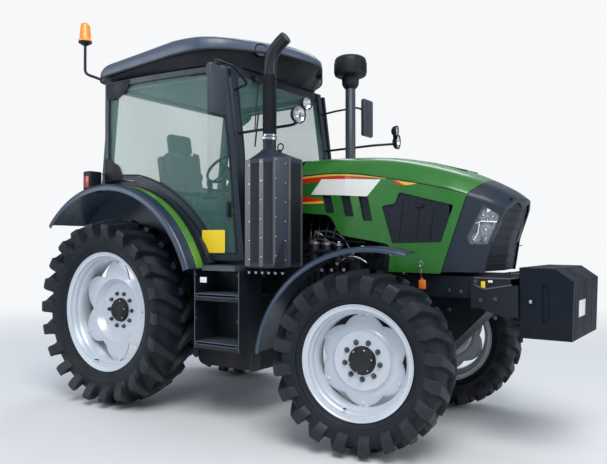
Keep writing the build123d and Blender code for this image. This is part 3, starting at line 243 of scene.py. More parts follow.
def inward(outline, distance):
    """Closed polygon moved inward: each corner slides along its mitre by d / cos(half the turn)."""
    before, after = outline - np.roll(outline, 1, 0), np.roll(outline, -1, 0) - outline
    before = before / np.linalg.norm(before, axis=1)[:, None]
    after = after / np.linalg.norm(after, axis=1)[:, None]
    area = np.sum(outline[:, 0] * np.roll(outline[:, 1], -1) - np.roll(outline[:, 0], -1) * outline[:, 1])
    turn = np.sign(area)
    normal = np.stack([-(before + after)[:, 1], (before + after)[:, 0]], -1) * turn
    length = np.einsum("ij,ij->i", normal, normal)
    return outline + normal * (2 * distance / np.maximum(length, 0.6))[:, None]


def rounded(outline, radius, steps=5, closed=True):
    """Polyline with each corner replaced by a quadratic arc between points r before and after it.

    Q(t) = (1-t)^2 A + 2t(1-t) B + t^2 C.
    """
    corners = np.asarray(outline, float)
    radii = np.broadcast_to(radius, len(corners))
    t = np.linspace(0, 1, steps)[:, None]
    found = []
    for k, corner in enumerate(corners):
        if not closed and k in (0, len(corners) - 1):
            found.append(corner[None])
            continue
        back, onward = corners[k - 1] - corner, corners[(k + 1) % len(corners)] - corner
        reach_back = min(radii[k], 0.49 * np.linalg.norm(back))
        reach_on = min(radii[k], 0.49 * np.linalg.norm(onward))
        start = corner + back / np.linalg.norm(back) * reach_back
        end = corner + onward / np.linalg.norm(onward) * reach_on
        found.append((1 - t) ** 2 * start + 2 * t * (1 - t) * corner + t**2 * end)
    return np.concatenate(found)


def rounded_box(centre, half, radius, steps=4, turn=None):
    """Box with rounded edges: P = c + s (h - r) + r n, where n runs over the sphere and s holds the signs of n."""
    half = np.asarray(half, float)
    radius = min(radius, *(half * 0.98))
    quarter = np.linspace(0, np.pi / 2, steps)
    east = np.concatenate([quarter + k * np.pi / 2 for k in range(4)])
    sign_x = np.repeat([1, -1, -1, 1], steps)
    sign_y = np.repeat([1, 1, -1, -1], steps)
    north = np.concatenate([quarter - np.pi / 2, quarter])
    sign_z = np.repeat([-1, 1], steps)
    sphere = np.stack(np.broadcast_arrays(
        np.cos(north)[:, None] * np.cos(east), np.cos(north)[:, None] * np.sin(east), np.sin(north)[:, None]), -1)
    signs = np.stack(np.broadcast_arrays(sign_x[None, :], sign_y[None, :], sign_z[:, None]), -1)
    local = signs * (half - radius) + radius * sphere
    if turn is not None:
        local = local @ np.asarray(turn, float).T
    return capped(local + np.asarray(centre, float))


def rotation(axis, degrees):
    """Rotation matrix about a frame axis."""
    c, s = math.cos(math.radians(degrees)), math.sin(math.radians(degrees))
    return {"x": np.array([[1, 0, 0], [0, c, -s], [0, s, c]]),
            "y": np.array([[c, 0, s], [0, 1, 0], [-s, 0, c]]),
            "z": np.array([[c, -s, 0], [s, c, 0], [0, 0, 1]])}[axis]


def frame_about(direction):
    """Two unit vectors square to a direction and to each other."""
    direction = np.asarray(direction, float) / np.linalg.norm(direction)
    helper = np.array([0.0, 0.0, 1.0]) if abs(direction[2]) < 0.9 else np.array([1.0, 0.0, 0.0])
    u = np.cross(helper, direction)
    u /= np.linalg.norm(u)
    return u, np.cross(direction, u), direction


def turned(profile, centre, direction, sides=32, closed=False):
    """Surface of revolution: P(i, t) = c + h_i d + r_i (u cos t + v sin t), profile rows (h, r) in millimetres."""
    u, v, d = frame_about(direction)
    profile = np.asarray(profile, float)
    t = around(sides)
    spokes = np.cos(t)[:, None] * u + np.sin(t)[:, None] * v
    grid = np.asarray(centre, float) + profile[:, 0, None, None] * d + profile[:, 1, None, None] * spokes
    return Shape().sheet(metres(grid), wrap_u=closed, wrap_v=True, caps=not closed)


def tube(route, radius, sides=10, bend=0.0, steps=5):
    """Pipe along a route: rings of p + r (u cos t + v sin t), carried by parallel transport along the path."""
    path = np.asarray(route, float)
    if bend:
        path = rounded(path, bend, steps, closed=False)
    tangent = np.gradient(path, axis=0)
    tangent /= np.linalg.norm(tangent, axis=1)[:, None]
    u = frame_about(tangent[0])[0]
    radii = np.broadcast_to(radius, len(path)) if np.ndim(radius) == 0 else np.interp(
        np.linspace(0, 1, len(path)), np.linspace(0, 1, len(radius)), radius)
    t = around(sides)
    rings = []
    for p, d, r in zip(path, tangent, radii):
        u = u - d * (u @ d)
        u = u / np.linalg.norm(u)
        rings.append(p + r * (np.cos(t)[:, None] * u + np.sin(t)[:, None] * np.cross(d, u)))
    return capped(rings)


def bolt(centre, direction, across=20, head=9, washer=True):
    """Hexagon head on a round washer, with its top edge turned off."""
    r = across / math.sqrt(3)
    shape = turned([(0, r), (head * 0.75, r), (head, r * 0.82)], centre, direction, 6)
    if washer:
        shape.add(turned([(-1, r * 1.25), (1.6, r * 1.25), (2.2, r * 1.1)], centre, direction, 16))
    return shape


def hermite(stations, table, wanted):
    """Cubic through table rows: H = h00 p0 + h10 m0 + h01 p1 + h11 m1, slopes from neighbours, limited to monotone."""
    stations, table, wanted = map(np.asarray, (stations, table, wanted))
    step = np.diff(stations)
    chord = np.diff(table, axis=0) / step[:, None]
    slope = np.vstack([chord[:1], (chord[1:] + chord[:-1]) / 2, chord[-1:]])
    flat = chord[1:] * chord[:-1] <= 0
    slope[1:-1][flat] = 0
    k = np.clip(np.searchsorted(stations, wanted, side="right") - 1, 0, len(step) - 1)
    t = ((wanted - stations[k]) / step[k])[:, None]
    h = step[k][:, None]
    return ((2 * t**3 - 3 * t**2 + 1) * table[k] + (t**3 - 2 * t**2 + t) * h * slope[k]
            + (3 * t**2 - 2 * t**3) * table[k + 1] + (t**3 - t**2) * h * slope[k + 1])


# ---- objects
def finish_mesh(mesh, angle=32.0):
    """Weld seams, turn faces outward and mark edges sharper than the angle."""
    work = bmesh.new()
    work.from_mesh(mesh)
    bmesh.ops.remove_doubles(work, verts=work.verts, dist=2e-6)
    bmesh.ops.dissolve_degenerate(work, edges=work.edges, dist=1e-6)
    bmesh.ops.recalc_face_normals(work, faces=work.faces)
    work.to_mesh(mesh)
    work.free()
    mesh.polygons.foreach_set("use_smooth", np.ones(len(mesh.polygons), bool))
    mesh.set_sharp_from_angle(angle=math.radians(angle))
    mesh.update()


def make(name, shape, body, material, replaces=(), angle=32.0):
    """One object from a shape, riding on a body, with a material."""
    mesh = bpy.data.meshes.new(name)
    mesh.from_pydata(np.concatenate(shape.points).tolist(), [], shape.faces)
    finish_mesh(mesh, angle)
    thing = bpy.data.objects.new(name, mesh)
    bpy.context.scene.collection.objects.link(thing)
    return dress(thing, body, material, replaces)


def dress(thing, body, material, replaces=()):
    """Give an object its material and body."""
    mat, default_slot = TRACTOR["materials"][material]
    thing.data.materials.clear()
    thing.data.materials.append(mat)
    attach(thing, body)
    if replaces:
        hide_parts(*replaces)
    return thing


def cut(thing, shape, operation="DIFFERENCE"):
    """Apply one boolean between an object and a shape, and keep the result in the object."""
    mesh = bpy.data.meshes.new("cutter")
    mesh.from_pydata(np.concatenate(shape.points).tolist(), [], shape.faces)
    finish_mesh(mesh)
    cutter = bpy.data.objects.new("cutter", mesh)
    bpy.context.scene.collection.objects.link(cutter)
    modifier = thing.modifiers.new("cut", "BOOLEAN")
    modifier.operation, modifier.solver, modifier.object = operation, "EXACT", cutter
    bpy.context.view_layer.update()
    result = bpy.data.meshes.new_from_object(thing.evaluated_get(bpy.context.evaluated_depsgraph_get()))
    thing.modifiers.clear()
    old, name = thing.data, thing.data.name
    thing.data = result
    bpy.data.meshes.remove(old)
    result.name = name
    bpy.data.objects.remove(cutter)
    bpy.data.meshes.remove(mesh)
    if not len(result.polygons):
        raise RuntimeError(f"a cut left nothing of {thing.name}")
    finish_mesh(result)


# ---- shader maths
class Value:
    """A shader value; each operator adds one Math node."""

    def __init__(self, tree, socket):
        self.tree, self.socket = tree, socket

    def math(self, operation, *others):
        return self.tree.node("ShaderNodeMath", {"operation": operation}, dict(enumerate((self, *others))))

    def __add__(self, other):
        return self.math("ADD", other)

    def __sub__(self, other):
        return self.math("SUBTRACT", other)

    def __mul__(self, other):
        return self.math("MULTIPLY", other)

    def __truediv__(self, other):
        return self.math("DIVIDE", other)

    def __pow__(self, other):
        return self.math("POWER", other)

    __radd__, __rmul__ = __add__, __mul__

    def __rsub__(self, other):
        return self.tree.node("ShaderNodeMath", {"operation": "SUBTRACT"}, {0: other, 1: self})

    def ramp(self, low, high, to_low=0.0, to_high=1.0):
        """Smooth step from low to high, clamped."""
        return self.tree.node(
            "ShaderNodeMapRange", {"interpolation_type": "SMOOTHSTEP", "clamp": True},
            {"Value": self, "From Min": low, "From Max": high, "To Min": to_low, "To Max": to_high})

    def part(self, name):
        """Another output of the same node."""
        return Value(self.tree, self.socket.node.outputs[name])


class Tree:
    """Nodes of one material."""

    def __init__(self, owner):
        owner.use_nodes = True
        self.nodes, self.links = owner.node_tree.nodes, owner.node_tree.links
        self.nodes.clear()

    def node(self, kind, settings=None, inputs=None, output=0):
        made = self.nodes.new(kind)
        for key, value in (settings or {}).items():
            setattr(made, key, value)
        for key, value in (inputs or {}).items():
            if isinstance(value, Value):
                self.links.new(value.socket, made.inputs[key])
            else:
                made.inputs[key].default_value = value
        return Value(self, made.outputs[output])

    def place(self, stretch=(1, 1, 1)):
        """Object coordinates, stretched."""
        coordinates = self.node("ShaderNodeTexCoord", output="Object")
        if stretch == (1, 1, 1):
            return coordinates
        return self.node("ShaderNodeMapping", None, {"Vector": coordinates, "Scale": stretch})

    def height(self):
        return self.node("ShaderNodeSeparateXYZ", None, {0: self.node("ShaderNodeTexCoord", output="Object")}, "Z")

    def noise(self, scale, detail=3.0, stretch=(1, 1, 1), roughness=0.55):
        return self.node("ShaderNodeTexNoise", None, {
            "Vector": self.place(stretch), "Scale": scale, "Detail": detail, "Roughness": roughness})

    def cells(self, scale, stretch=(1, 1, 1)):
        return self.node("ShaderNodeTexVoronoi", None, {"Vector": self.place(stretch), "Scale": scale})

    def mix(self, factor, first, second):
        return self.node("ShaderNodeMix", {"data_type": "RGBA"}, {0: factor, 6: rgba(first), 7: rgba(second)}, 2)

    def bump(self, height, strength=0.2, distance=0.002):
        return self.node("ShaderNodeBump", None, {"Height": height, "Strength": strength, "Distance": distance})

    def output(self, shader):
        made = self.nodes.new("ShaderNodeOutputMaterial")
        self.links.new(shader.socket, made.inputs["Surface"])


def rgba(colour):
    if isinstance(colour, Value):
        return colour
    return (*colour[:3], 1.0)


def principled(name, **inputs):
    """Material of one Principled shader; the inputs come from a function of the tree."""
    material = bpy.data.materials.new(name)
    tree = Tree(material)
    values = {}
    for key, value in inputs.items():
        value = value(tree) if callable(value) else value
        values[key.replace("_", " ")] = rgba(value) if isinstance(value, tuple) and len(value) == 3 else value
    tree.output(tree.node("ShaderNodeBsdfPrincipled", None, values))
    return material


DUST = (0.20, 0.17, 0.13)


def dusty(colour, amount, top=1.1, spread=0.06, second=None):
    """Colour with a faint large mottle, and road dust that thins out with height and gathers in patches."""

    def build(tree):
        mottle = tree.mix(tree.noise(1.7, 4.0), tuple(c * (1 - spread) for c in colour),
                          second or tuple(min(1, c * (1 + spread)) for c in colour))
        low = tree.height().ramp(top, 0.1)
        patches = tree.noise(5.0, 6.0).ramp(0.42, 0.72)
        specks = tree.noise(90.0, 2.0).ramp(0.50, 0.75)
        return tree.mix((low * (patches * 0.75 + 0.25) + specks * 0.12 * low) * amount, mottle, DUST)

    return build


def worn_gloss(low, high, dirty=0.62, top=1.1, amount=0.4):
    """Roughness from low to high by fine smears, raised where dust lies."""

    def build(tree):
        smear = tree.noise(7.0, 6.0, (1, 1, 0.25)).ramp(0.35, 0.7, low, high)
        dust = tree.height().ramp(top, 0.1) * amount * tree.noise(5.0, 6.0).ramp(0.42, 0.72)
        return smear * (1.0 - dust) + dust * dirty

    return build


def peel(scale=420.0, strength=0.05, distance=0.0004):
    return lambda tree: tree.bump(tree.noise(scale, 1.0), strength, distance)


def grain(scale=900.0, strength=0.25, distance=0.0006):
    return lambda tree: tree.bump(tree.cells(scale), strength, distance)


def cast_bump(tree):
    return tree.bump(tree.noise(160.0, 4.0) + tree.noise(24.0, 2.0) * 0.6, 0.35, 0.0016)


def rubber_bump(tree):
    return tree.bump(tree.noise(210.0, 3.0) + tree.noise(30.0, 3.0) * 0.8, 0.22, 0.0012)


def brushed(tree):
    return tree.bump(tree.noise(60.0, 2.0, (1, 1, 14)), 0.12, 0.0004)


def weave(tree):
    """Woven cloth: two crossed sine bands, sin(ax) sin(bz)."""
    x = tree.node("ShaderNodeSeparateXYZ", None, {0: tree.place()}, "X")
    across = (x.part("Y") * 1900.0).math("SINE")
    along = ((x + x.part("Z")) * 1900.0).math("SINE")
    return tree.bump(across * along * 0.5 + tree.noise(500.0, 2.0) * 0.6, 0.4, 0.0007)


def ribs(axis, per_metre, strength=0.5, distance=0.002):
    """Moulded ribs: sin(2 pi n u) along one axis."""

    def build(tree):
        u = tree.node("ShaderNodeSeparateXYZ", None, {0: tree.place()}, axis)
        return tree.bump((u * (2 * math.pi * per_metre)).math("SINE"), strength, distance)

    return build


def perforated(tree):
    """Round holes in a staggered sheet: cells of a scaled lattice, dark where the distance to a centre is small."""
    return tree.bump(tree.cells(95.0).ramp(0.28, 0.36), 0.9, 0.002)


def perforated_colour(colour):
    return lambda tree: tree.mix(tree.cells(95.0).ramp(0.26, 0.36), (0.002, 0.002, 0.003), colour)


def build_materials(colours):
    """Every shared material: name, shader and the record's slot that it stands for."""
    dust = colours.dust
    body, panel, rim = tuple(colours.body), tuple(colours.panel), tuple(colours.rim)
    red, yellow = tuple(colours.stripe_red), tuple(colours.stripe_yellow)
    dark, iron = (0.006, 0.008, 0.013), (0.007, 0.011, 0.018)
    table = {
        "green_paint": ("green_paint", dict(
            Base_Color=dusty(body, dust * 0.35), Roughness=worn_gloss(0.22, 0.34), Normal=peel(),
            Metallic=0.15, Coat_Weight=0.35, Coat_Roughness=0.1)),
        "dark_panel": ("dark_panel", dict(
            Base_Color=dusty(panel, dust * 0.35), Roughness=worn_gloss(0.34, 0.48), Normal=peel(600.0, 0.06),
            Coat_Weight=0.2, Coat_Roughness=0.16, Specular_IOR_Level=0.35)),
        # Roof: the dark panel paint under dust, drawn lighter and bluer than the nose: painted sky reflection on the
        # top.
        "roof_paint_sky_lit": ("dark_panel", dict(
            Base_Color=dusty((0.055, 0.080, 0.125), dust * 0.2, 3.2, 0.1), Roughness=worn_gloss(0.34, 0.48),
            Normal=peel(600.0, 0.06), Coat_Weight=0.2, Coat_Roughness=0.2)),
        # Fenders: the dark panel paint under dust, drawn lighter and bluer than the nose: painted sky reflection on
        # their crowns.
        "fender_paint_sky_lit": ("dark_panel", dict(
            Base_Color=dusty((0.022, 0.042, 0.075), dust * 0.3), Roughness=worn_gloss(0.32, 0.44),
            Normal=peel(600.0, 0.06),
            Coat_Weight=0.35, Coat_Roughness=0.16)),
        "mirror_shell": ("black_plastic", dict(
            Base_Color=dusty((0.030, 0.040, 0.056), dust * 0.2), Roughness=worn_gloss(0.40, 0.52), Normal=grain())),
        "box_steel": ("chassis_paint", dict(
            Base_Color=dusty((0.018, 0.027, 0.044), dust * 0.3, 1.8), Roughness=worn_gloss(0.36, 0.5),
            Normal=peel(500.0, 0.08),
            Specular_IOR_Level=0.35)),
        "black_metal": ("chassis_paint", dict(
            Base_Color=dusty((0.009, 0.012, 0.018), dust * 0.2), Roughness=worn_gloss(0.34, 0.5), Normal=cast_bump,
            Specular_IOR_Level=0.4)),
        "rim_paint": ("rim_paint", dict(
            Base_Color=dusty(rim, dust * 0.28, 1.3, 0.03), Roughness=worn_gloss(0.30, 0.42), Normal=peel(300.0, 0.04),
            Metallic=0.25, Coat_Weight=0.25, Coat_Roughness=0.2)),
        "tyre_rubber": ("tyre_rubber", dict(
            Base_Color=dusty((0.004, 0.008, 0.015), dust * 0.20, 1.2, 0.2), Roughness=worn_gloss(0.52, 0.70),
            Normal=rubber_bump, Specular_IOR_Level=0.3)),
        "tyre_bar": ("tyre_rubber", dict(
            Base_Color=dusty((0.009, 0.013, 0.021), dust * 0.30, 1.5, 0.25), Roughness=worn_gloss(0.46, 0.66),
            Normal=rubber_bump, Specular_IOR_Level=0.35)),
        "chassis_paint": ("chassis_paint", dict(
            Base_Color=dusty(iron, dust * 0.35), Roughness=worn_gloss(0.38, 0.55), Normal=peel(500.0, 0.08),
            Specular_IOR_Level=0.35)),
        "castings": ("castings", dict(
            Base_Color=dusty((0.008, 0.011, 0.016), dust * 0.5, 1.3, 0.25), Roughness=worn_gloss(0.5, 0.72),
            Normal=cast_bump, Specular_IOR_Level=0.3)),
        "bright_steel": ("bright_steel", dict(
            Base_Color=dusty((0.46, 0.48, 0.51), dust * 0.3), Roughness=worn_gloss(0.24, 0.42), Metallic=0.9,
            Normal=brushed)),
        "dark_steel": ("bright_steel", dict(
            Base_Color=dusty((0.10, 0.11, 0.13), dust * 0.3), Roughness=worn_gloss(0.3, 0.45), Metallic=0.8,
            Normal=brushed)),
        "chrome": ("bright_steel", dict(
            Base_Color=dusty((0.78, 0.80, 0.83), dust * 0.1), Roughness=worn_gloss(0.07, 0.14), Metallic=1.0,
            Normal=peel(80.0, 0.02))),
        "grey_pipe": ("grey_pipe", dict(
            Base_Color=dusty((0.055, 0.066, 0.082), dust * 0.2, 1.2, 0.18), Roughness=worn_gloss(0.34, 0.52),
            Metallic=0.45, Normal=cast_bump)),
        "bright_green": ("green_paint", dict(
            Base_Color=dusty((0.085, 0.30, 0.035), dust * 0.2), Roughness=worn_gloss(0.24, 0.36), Normal=peel(),
            Coat_Weight=0.35, Coat_Roughness=0.1)),
        "strip": ("grey_pipe", dict(
            Base_Color=dusty((0.14, 0.14, 0.145), dust * 0.3, 1.6, 0.1), Roughness=worn_gloss(0.30, 0.45),
            Metallic=0.55, Normal=brushed)),
        "black_plastic": ("black_plastic", dict(
            Base_Color=dusty(dark, dust * 0.3), Roughness=worn_gloss(0.42, 0.6), Normal=grain(),
            Specular_IOR_Level=0.35)),
        "perforated": ("black_plastic", dict(
            Base_Color=perforated_colour((0.010, 0.015, 0.025)), Roughness=worn_gloss(0.42, 0.55),
            Normal=perforated, Specular_IOR_Level=0.3)),
        "louvre": ("chassis_paint", dict(
            Base_Color=dusty((0.008, 0.011, 0.018), dust * 0.3), Roughness=worn_gloss(0.36, 0.5),
            Normal=ribs("Z", 182.0, 0.3, 0.001), Specular_IOR_Level=0.3)),
        "seal": ("black_plastic", dict(
            Base_Color=dusty((0.006, 0.007, 0.009), dust * 0.3), Roughness=worn_gloss(0.55, 0.7),
            Normal=grain(1500.0, 0.1))),
        "seat_cloth": ("seat_cloth", dict(
            Base_Color=dusty((0.030, 0.042, 0.052), 0.1, 2.2, 0.25), Roughness=worn_gloss(0.78, 0.92), Normal=weave,
            Sheen_Weight=0.25)),
        "cab_trim": ("black_plastic", dict(
            Base_Color=dusty((0.055, 0.085, 0.085), 0.1, 1.6, 0.12), Roughness=worn_gloss(0.5, 0.65),
            Normal=grain(700.0, 0.2))),
        "window_glass": ("window_glass", dict(
            Base_Color=lambda tree: tree.mix(tree.noise(1.3, 3.0), (0.10, 0.26, 0.23), (0.14, 0.32, 0.29)),
            Roughness=worn_gloss(0.01, 0.03),
            Alpha=lambda tree: tree.noise(1.6, 3.0, (1, 1, 0.3)).ramp(0.3, 0.8, 0.17, 0.23), Coat_Weight=0.3,
            Normal=peel(1.5, 0.02, 0.002))),
        "lamp_glass": ("lamp_glass", dict(
            Base_Color=dusty((0.42, 0.46, 0.50), 0.1, 1.6, 0.03), Roughness=worn_gloss(0.02, 0.05),
            Alpha=lambda tree: tree.noise(9.0, 2.0).ramp(0.3, 0.8, 0.10, 0.16), Coat_Weight=0.4,
            Normal=peel(30.0, 0.03, 0.001))),
        "lens": ("lamp_glass", dict(
            Base_Color=dusty((0.62, 0.66, 0.70), 0.1, 1.6, 0.05), Roughness=worn_gloss(0.08, 0.18), Metallic=0.55,
            Coat_Weight=1.0, Normal=ribs("Y", 150.0, 0.25, 0.001))),
        "amber": ("amber", dict(
            Base_Color=dusty((0.90, 0.235, 0.012), 0.05, 2.0, 0.12, (0.95, 0.36, 0.02)),
            Roughness=worn_gloss(0.12, 0.2),
            Emission_Color=(0.9, 0.25, 0.01), Emission_Strength=0.12, Coat_Weight=0.8,
            Normal=ribs("X", 90.0, 0.2, 0.001))),
        "red_lens": ("amber", dict(
            Base_Color=dusty((0.45, 0.012, 0.010), 0.1, 2.0, 0.1), Roughness=worn_gloss(0.12, 0.2), Coat_Weight=0.8,
            Normal=ribs("Z", 120.0, 0.3, 0.001))),
        "weight_paint": ("weight_paint", dict(
            Base_Color=dusty((0.005, 0.009, 0.017), dust * 0.25, 1.3, 0.2), Roughness=worn_gloss(0.44, 0.6),
            Normal=cast_bump, Specular_IOR_Level=0.16)),
        "stripe_red": ("green_paint", dict(
            Base_Color=dusty(red, dust * 0.2), Roughness=worn_gloss(0.2, 0.3), Coat_Weight=0.6, Normal=peel())),
        "stripe_yellow": ("green_paint", dict(
            Base_Color=dusty(yellow, dust * 0.2), Roughness=worn_gloss(0.2, 0.3), Coat_Weight=0.6, Normal=peel())),
        "sign_yellow": ("green_paint", dict(
            Base_Color=dusty((0.86, 0.62, 0.02), dust * 0.2), Roughness=worn_gloss(0.3, 0.4), Normal=peel())),
        "plate_white": ("green_paint", dict(
            Base_Color=dusty((0.78, 0.80, 0.77), dust * 0.25, 1.4, 0.03), Roughness=worn_gloss(0.2, 0.32),
            Coat_Weight=0.4,
            Normal=peel())),
        "tag_orange": ("amber", dict(
            Base_Color=dusty((0.85, 0.20, 0.03), dust * 0.2), Roughness=worn_gloss(0.4, 0.55), Normal=grain())),
        "brass": ("bright_steel", dict(
            Base_Color=dusty((0.55, 0.40, 0.14), dust * 0.3), Roughness=worn_gloss(0.25, 0.4), Metallic=0.95,
            Normal=brushed)),
        "green_light": ("black_plastic", dict(
            Base_Color=dusty((0.05, 0.45, 0.06), 0.05), Roughness=worn_gloss(0.3, 0.4), Normal=grain())),
    }
    for name, (slot, inputs) in table.items():
        TRACTOR["materials"][name] = (principled(name, **inputs), slot)


# ---- wheels
def tyre_profile(size):
    """Half section of the carcass from the middle to the bead, (along the axle, radius), smoothed."""
    half, belly = size["half"], size["belly"]
    corners = np.array([
        (0, size["crown"]), (half * 0.55, size["crown"] - 12), (half * 0.86, size["shoulder"] + 9),
        (half + 2, size["shoulder"] - 10), (half + 12, belly + 60), (half + 15.5, belly + 4), (half + 9, belly - 34),
        (half - 6, size["flange"] + 42), (half - 20, size["flange"] + 22), (half - 27, size["flange"] + 6),
        (half - 33, size["flange"] - 6), (half - 46, size["seat"] + 8),
    ], float)
    return rounded(corners, 24.0, 4, closed=False)


def tyre_local(size, sides):
    """Carcass and two rows of slanting bars about the Y axis, outer side towards -Y."""
    half = tyre_profile(size)
    profile = np.concatenate([half[::-1] * (1, 1), half[1:] * (-1, 1)])
    radius = profile[:, 1]
    turn = around(sides)
    ring = np.stack(np.broadcast_arrays(
        radius[:, None] * np.sin(turn), profile[:, 0][:, None], radius[:, None] * np.cos(turn)), -1)
    carcass = Shape().sheet(ring, wrap_v=True)
    # The inside closes the tyre from bead to bead.
    bead = size["seat"] + 8
    inner = np.array([(profile[0, 0], bead), (profile[0, 0] * 0.9, bead - 6), (profile[-1, 0] * 0.9, bead - 6),
                      (profile[-1, 0], bead)])
    ring = np.stack(np.broadcast_arrays(
        inner[:, 1][:, None] * np.sin(turn), inner[:, 0][:, None], inner[:, 1][:, None] * np.cos(turn)), -1)
    carcass.sheet(ring, wrap_v=True)
    return carcass, bar_rows(size, half)


def bar_rows(size, half):
    """All bars of a tyre. s runs from the middle to the shoulder and down the sidewall, q round a bar's section.

    A point is C(s) + h(s, q) n(s) at the angle a(s) + w(s, q) / C_r(s), where C is the carcass profile, n its
    normal, h the height of the section and w its half width with draft.
    """
    arc = np.concatenate([[0], np.cumsum(np.linalg.norm(np.diff(half, axis=0), axis=1))])
    flat = np.interp(size["half"], half[:20, 0], arc[:20])
    s = np.array([0.02, 0.03, 0.07, 0.16, 0.3, 0.44, 0.58, 0.72, 0.84, 0.93, 0.985, 1.03, 1.10, 1.20, 1.30, 1.38, 1.41])
    at = s * flat
    y, r = np.interp(at, arc, half[:, 0]), np.interp(at, arc, half[:, 1])
    slope = np.gradient(np.stack([y, r], -1), axis=0)
    slope /= np.linalg.norm(slope, axis=1)[:, None]
    normal = np.stack([-slope[:, 1], slope[:, 0]], -1)
    # On the tread the top runs level with the tip circle; past the shoulder it dies into the sidewall.
    tip = size["tip"] - size["drop"] * (y / size["half"]) ** 2
    rise = np.where(s <= 0.985, (tip - r) / np.maximum(normal[:, 1], 0.5), 0)
    edge = rise[s <= 0.985][-1]
    rise = np.where(s > 0.985, edge * np.interp(s, [0.985, 1.03, 1.10, 1.20, 1.30, 1.41],
                                                [1, 0.86, 0.60, 0.40, 0.22, -0.04]), rise)
    rise[0] = rise[1] * 0.9
    # Section: foot, wall, top edge and crown, mirrored; q gives the share of width and of height.
    q_width = np.array([-1.34, -1.10, -1.03, -0.94, -0.5, 0, 0.5, 0.94, 1.03, 1.10, 1.34])
    q_height = np.array([-0.10, 0.52, 0.92, 1.0, 1.0, 1.0, 1.0, 1.0, 0.92, 0.52, -0.10])
    width = size["width"] / 2 * np.interp(s, [0, 0.3, 0.9, 1.05, 1.41], [1.04, 1.14, 1.62, 2.1, 1.95])
    top = math.sqrt(size["tip"] ** 2 - (size["reach"] + size["width"] / 2) ** 2)
    pitch = 2 * np.pi / size["bars"]
    phase = pitch / 4 - math.atan2(size["reach"] + size["width"] / 2, top)
    sweep = np.interp(s, [0, 0.35, 0.75, 1.0, 1.41], [-1, -0.42, 0.42, 0.92, 1.12])
    middle = sweep * size["reach"] / size["tip"]
    w = width[:, None] * q_width
    h = rise[:, None] * q_height
    h = np.where(q_height < 0, np.minimum(-6.0, h), h)
    bars = Shape()
    for row, start in ((-1, 0.0), (1, pitch / 2)):
        for k in range(size["bars"]):
            angle = middle[:, None] + w / size["tip"] - (start + phase + k * pitch)
            along = y[:, None] + h * normal[:, 0][:, None]
            out = r[:, None] + h * normal[:, 1][:, None]
            grid = np.stack([out * np.sin(angle), row * along, -out * np.cos(angle)], -1)
            bars.sheet(grid, wrap_v=True, caps=True)
    return bars


def wheel_at(side, centre, turn):
    """Carries wheel millimetres (outer side -Y) to the frame: mirrored on the left, turned about the upright."""
    matrix = rotation("z", turn)

    def carry(points):
        local = points * 0.001
        if side > 0:
            local = local * (1, -1, 1)
        return local @ matrix.T + np.array(centre)

    return carry


def local_turned(profile, sides, closed=True):
    """Surface of revolution about Y: P(i, t) = (r sin t, y, r cos t), profile rows (y, r) in millimetres."""
    profile = np.asarray(profile, float)
    t = around(sides)
    grid = np.stack(np.broadcast_arrays(
        profile[:, 1][:, None] * np.sin(t), profile[:, 0][:, None], profile[:, 1][:, None] * np.cos(t)), -1)
    return Shape().sheet(grid, wrap_u=closed, wrap_v=True, caps=not closed)


def local_parts(shape):
    """A shape made in frame metres about the rear axle's ground point, back in wheel millimetres."""
    return shape.moved(lambda p: p * 1000.0 - np.array([REAR_AXLE, 0.0, 0.0]))


def rim_local(size, sides):
    """Barrel with stepped flanges, and a pressed disc whose six lobes reach the barrel."""
    seat, flange, half = size["seat"], size["flange"], size["half"]
    outer = [
        (-half, flange), (-half, flange - 5), (-half + 5, flange - 9), (-half + 9, flange - 15),
        (-half + 12, seat - 10), (-half + 26, seat - 12), (-half + 34, seat - 15), (-half + 44, seat - 27),
        (-half + 56, seat - 30), (-half + 74, seat - 31), (-half + 84, seat - 40), (-half + 96, seat - 46),
    ]
    barrel = rounded(outer, 5.0, 3, closed=False)
    far = barrel[::-1] * (-1, 1)
    inside = np.concatenate([barrel, far])
    back = np.array([(half - 4, flange + 0.5), (half - 11, seat - 1), (-half + 11, seat - 1),
                     (-half + 4, flange + 0.5)])
    metal = local_turned(np.concatenate([inside, back]), sides)
    # Disc: radius fraction f from the hub to the lobed edge.
    lobe_y, plate_y, plate = -size["lobe"], -size["plate"], size["plate_radius"]
    wall = seat - 47.0
    t = around(sides)
    wave = 0.5 + 0.5 * np.cos(6 * t)
    edge = wall - (wall - plate - 56.0) * 0.88 * (1 - wave ** 0.5)
    deep = plate_y > lobe_y  # the plate stands behind the lobes
    ridge = -14.0 if deep else 16.0
    rows = [
        (0.0, plate_y, None), (size["hub"] - 4, plate_y, None), (plate - 34, plate_y, None),
        (plate - 16, plate_y, None),
        (plate - 6, plate_y - (4 if not deep else 0), None), (plate + 4, plate_y + (lobe_y - plate_y) * 0.25, None),
        (plate + 22, lobe_y + (plate_y - lobe_y) * 0.25 - ridge * 0.3, None),
        (plate + 34, lobe_y - abs(ridge) * 0.65, None),
        (plate + 48, lobe_y - abs(ridge) * 0.5, None), (None, lobe_y, 0.55), (None, lobe_y + 2, 0.93),
        (None, lobe_y + 4, 1.0),
    ]
    front = []
    for radius, y, share in rows:
        if share is None:
            ring_radius = np.full(sides, float(radius))
        else:
            ring_radius = plate + 52 + share * (edge - plate - 52)
        front.append(np.stack([ring_radius * np.sin(t), np.full(sides, float(y)), ring_radius * np.cos(t)], -1))
    front = np.array(front[1:])
    back_face = front[::-1] + (0.0, 9.0, 0.0)
    disc = Shape().sheet(np.concatenate([front, back_face]), wrap_u=True, wrap_v=True)
    shape = Shape().add(metal, disc)
    # Lugs welded inside the barrel, under each lobe.
    for k in range(6):
        a = k * 60.0
        block = local_parts(rounded_box((0, lobe_y + 12, wall + 4), (34, 12, 26), 8))
        shape.add(block.moved(lambda p, m=rotation("y", a): p @ m.T))
    return shape


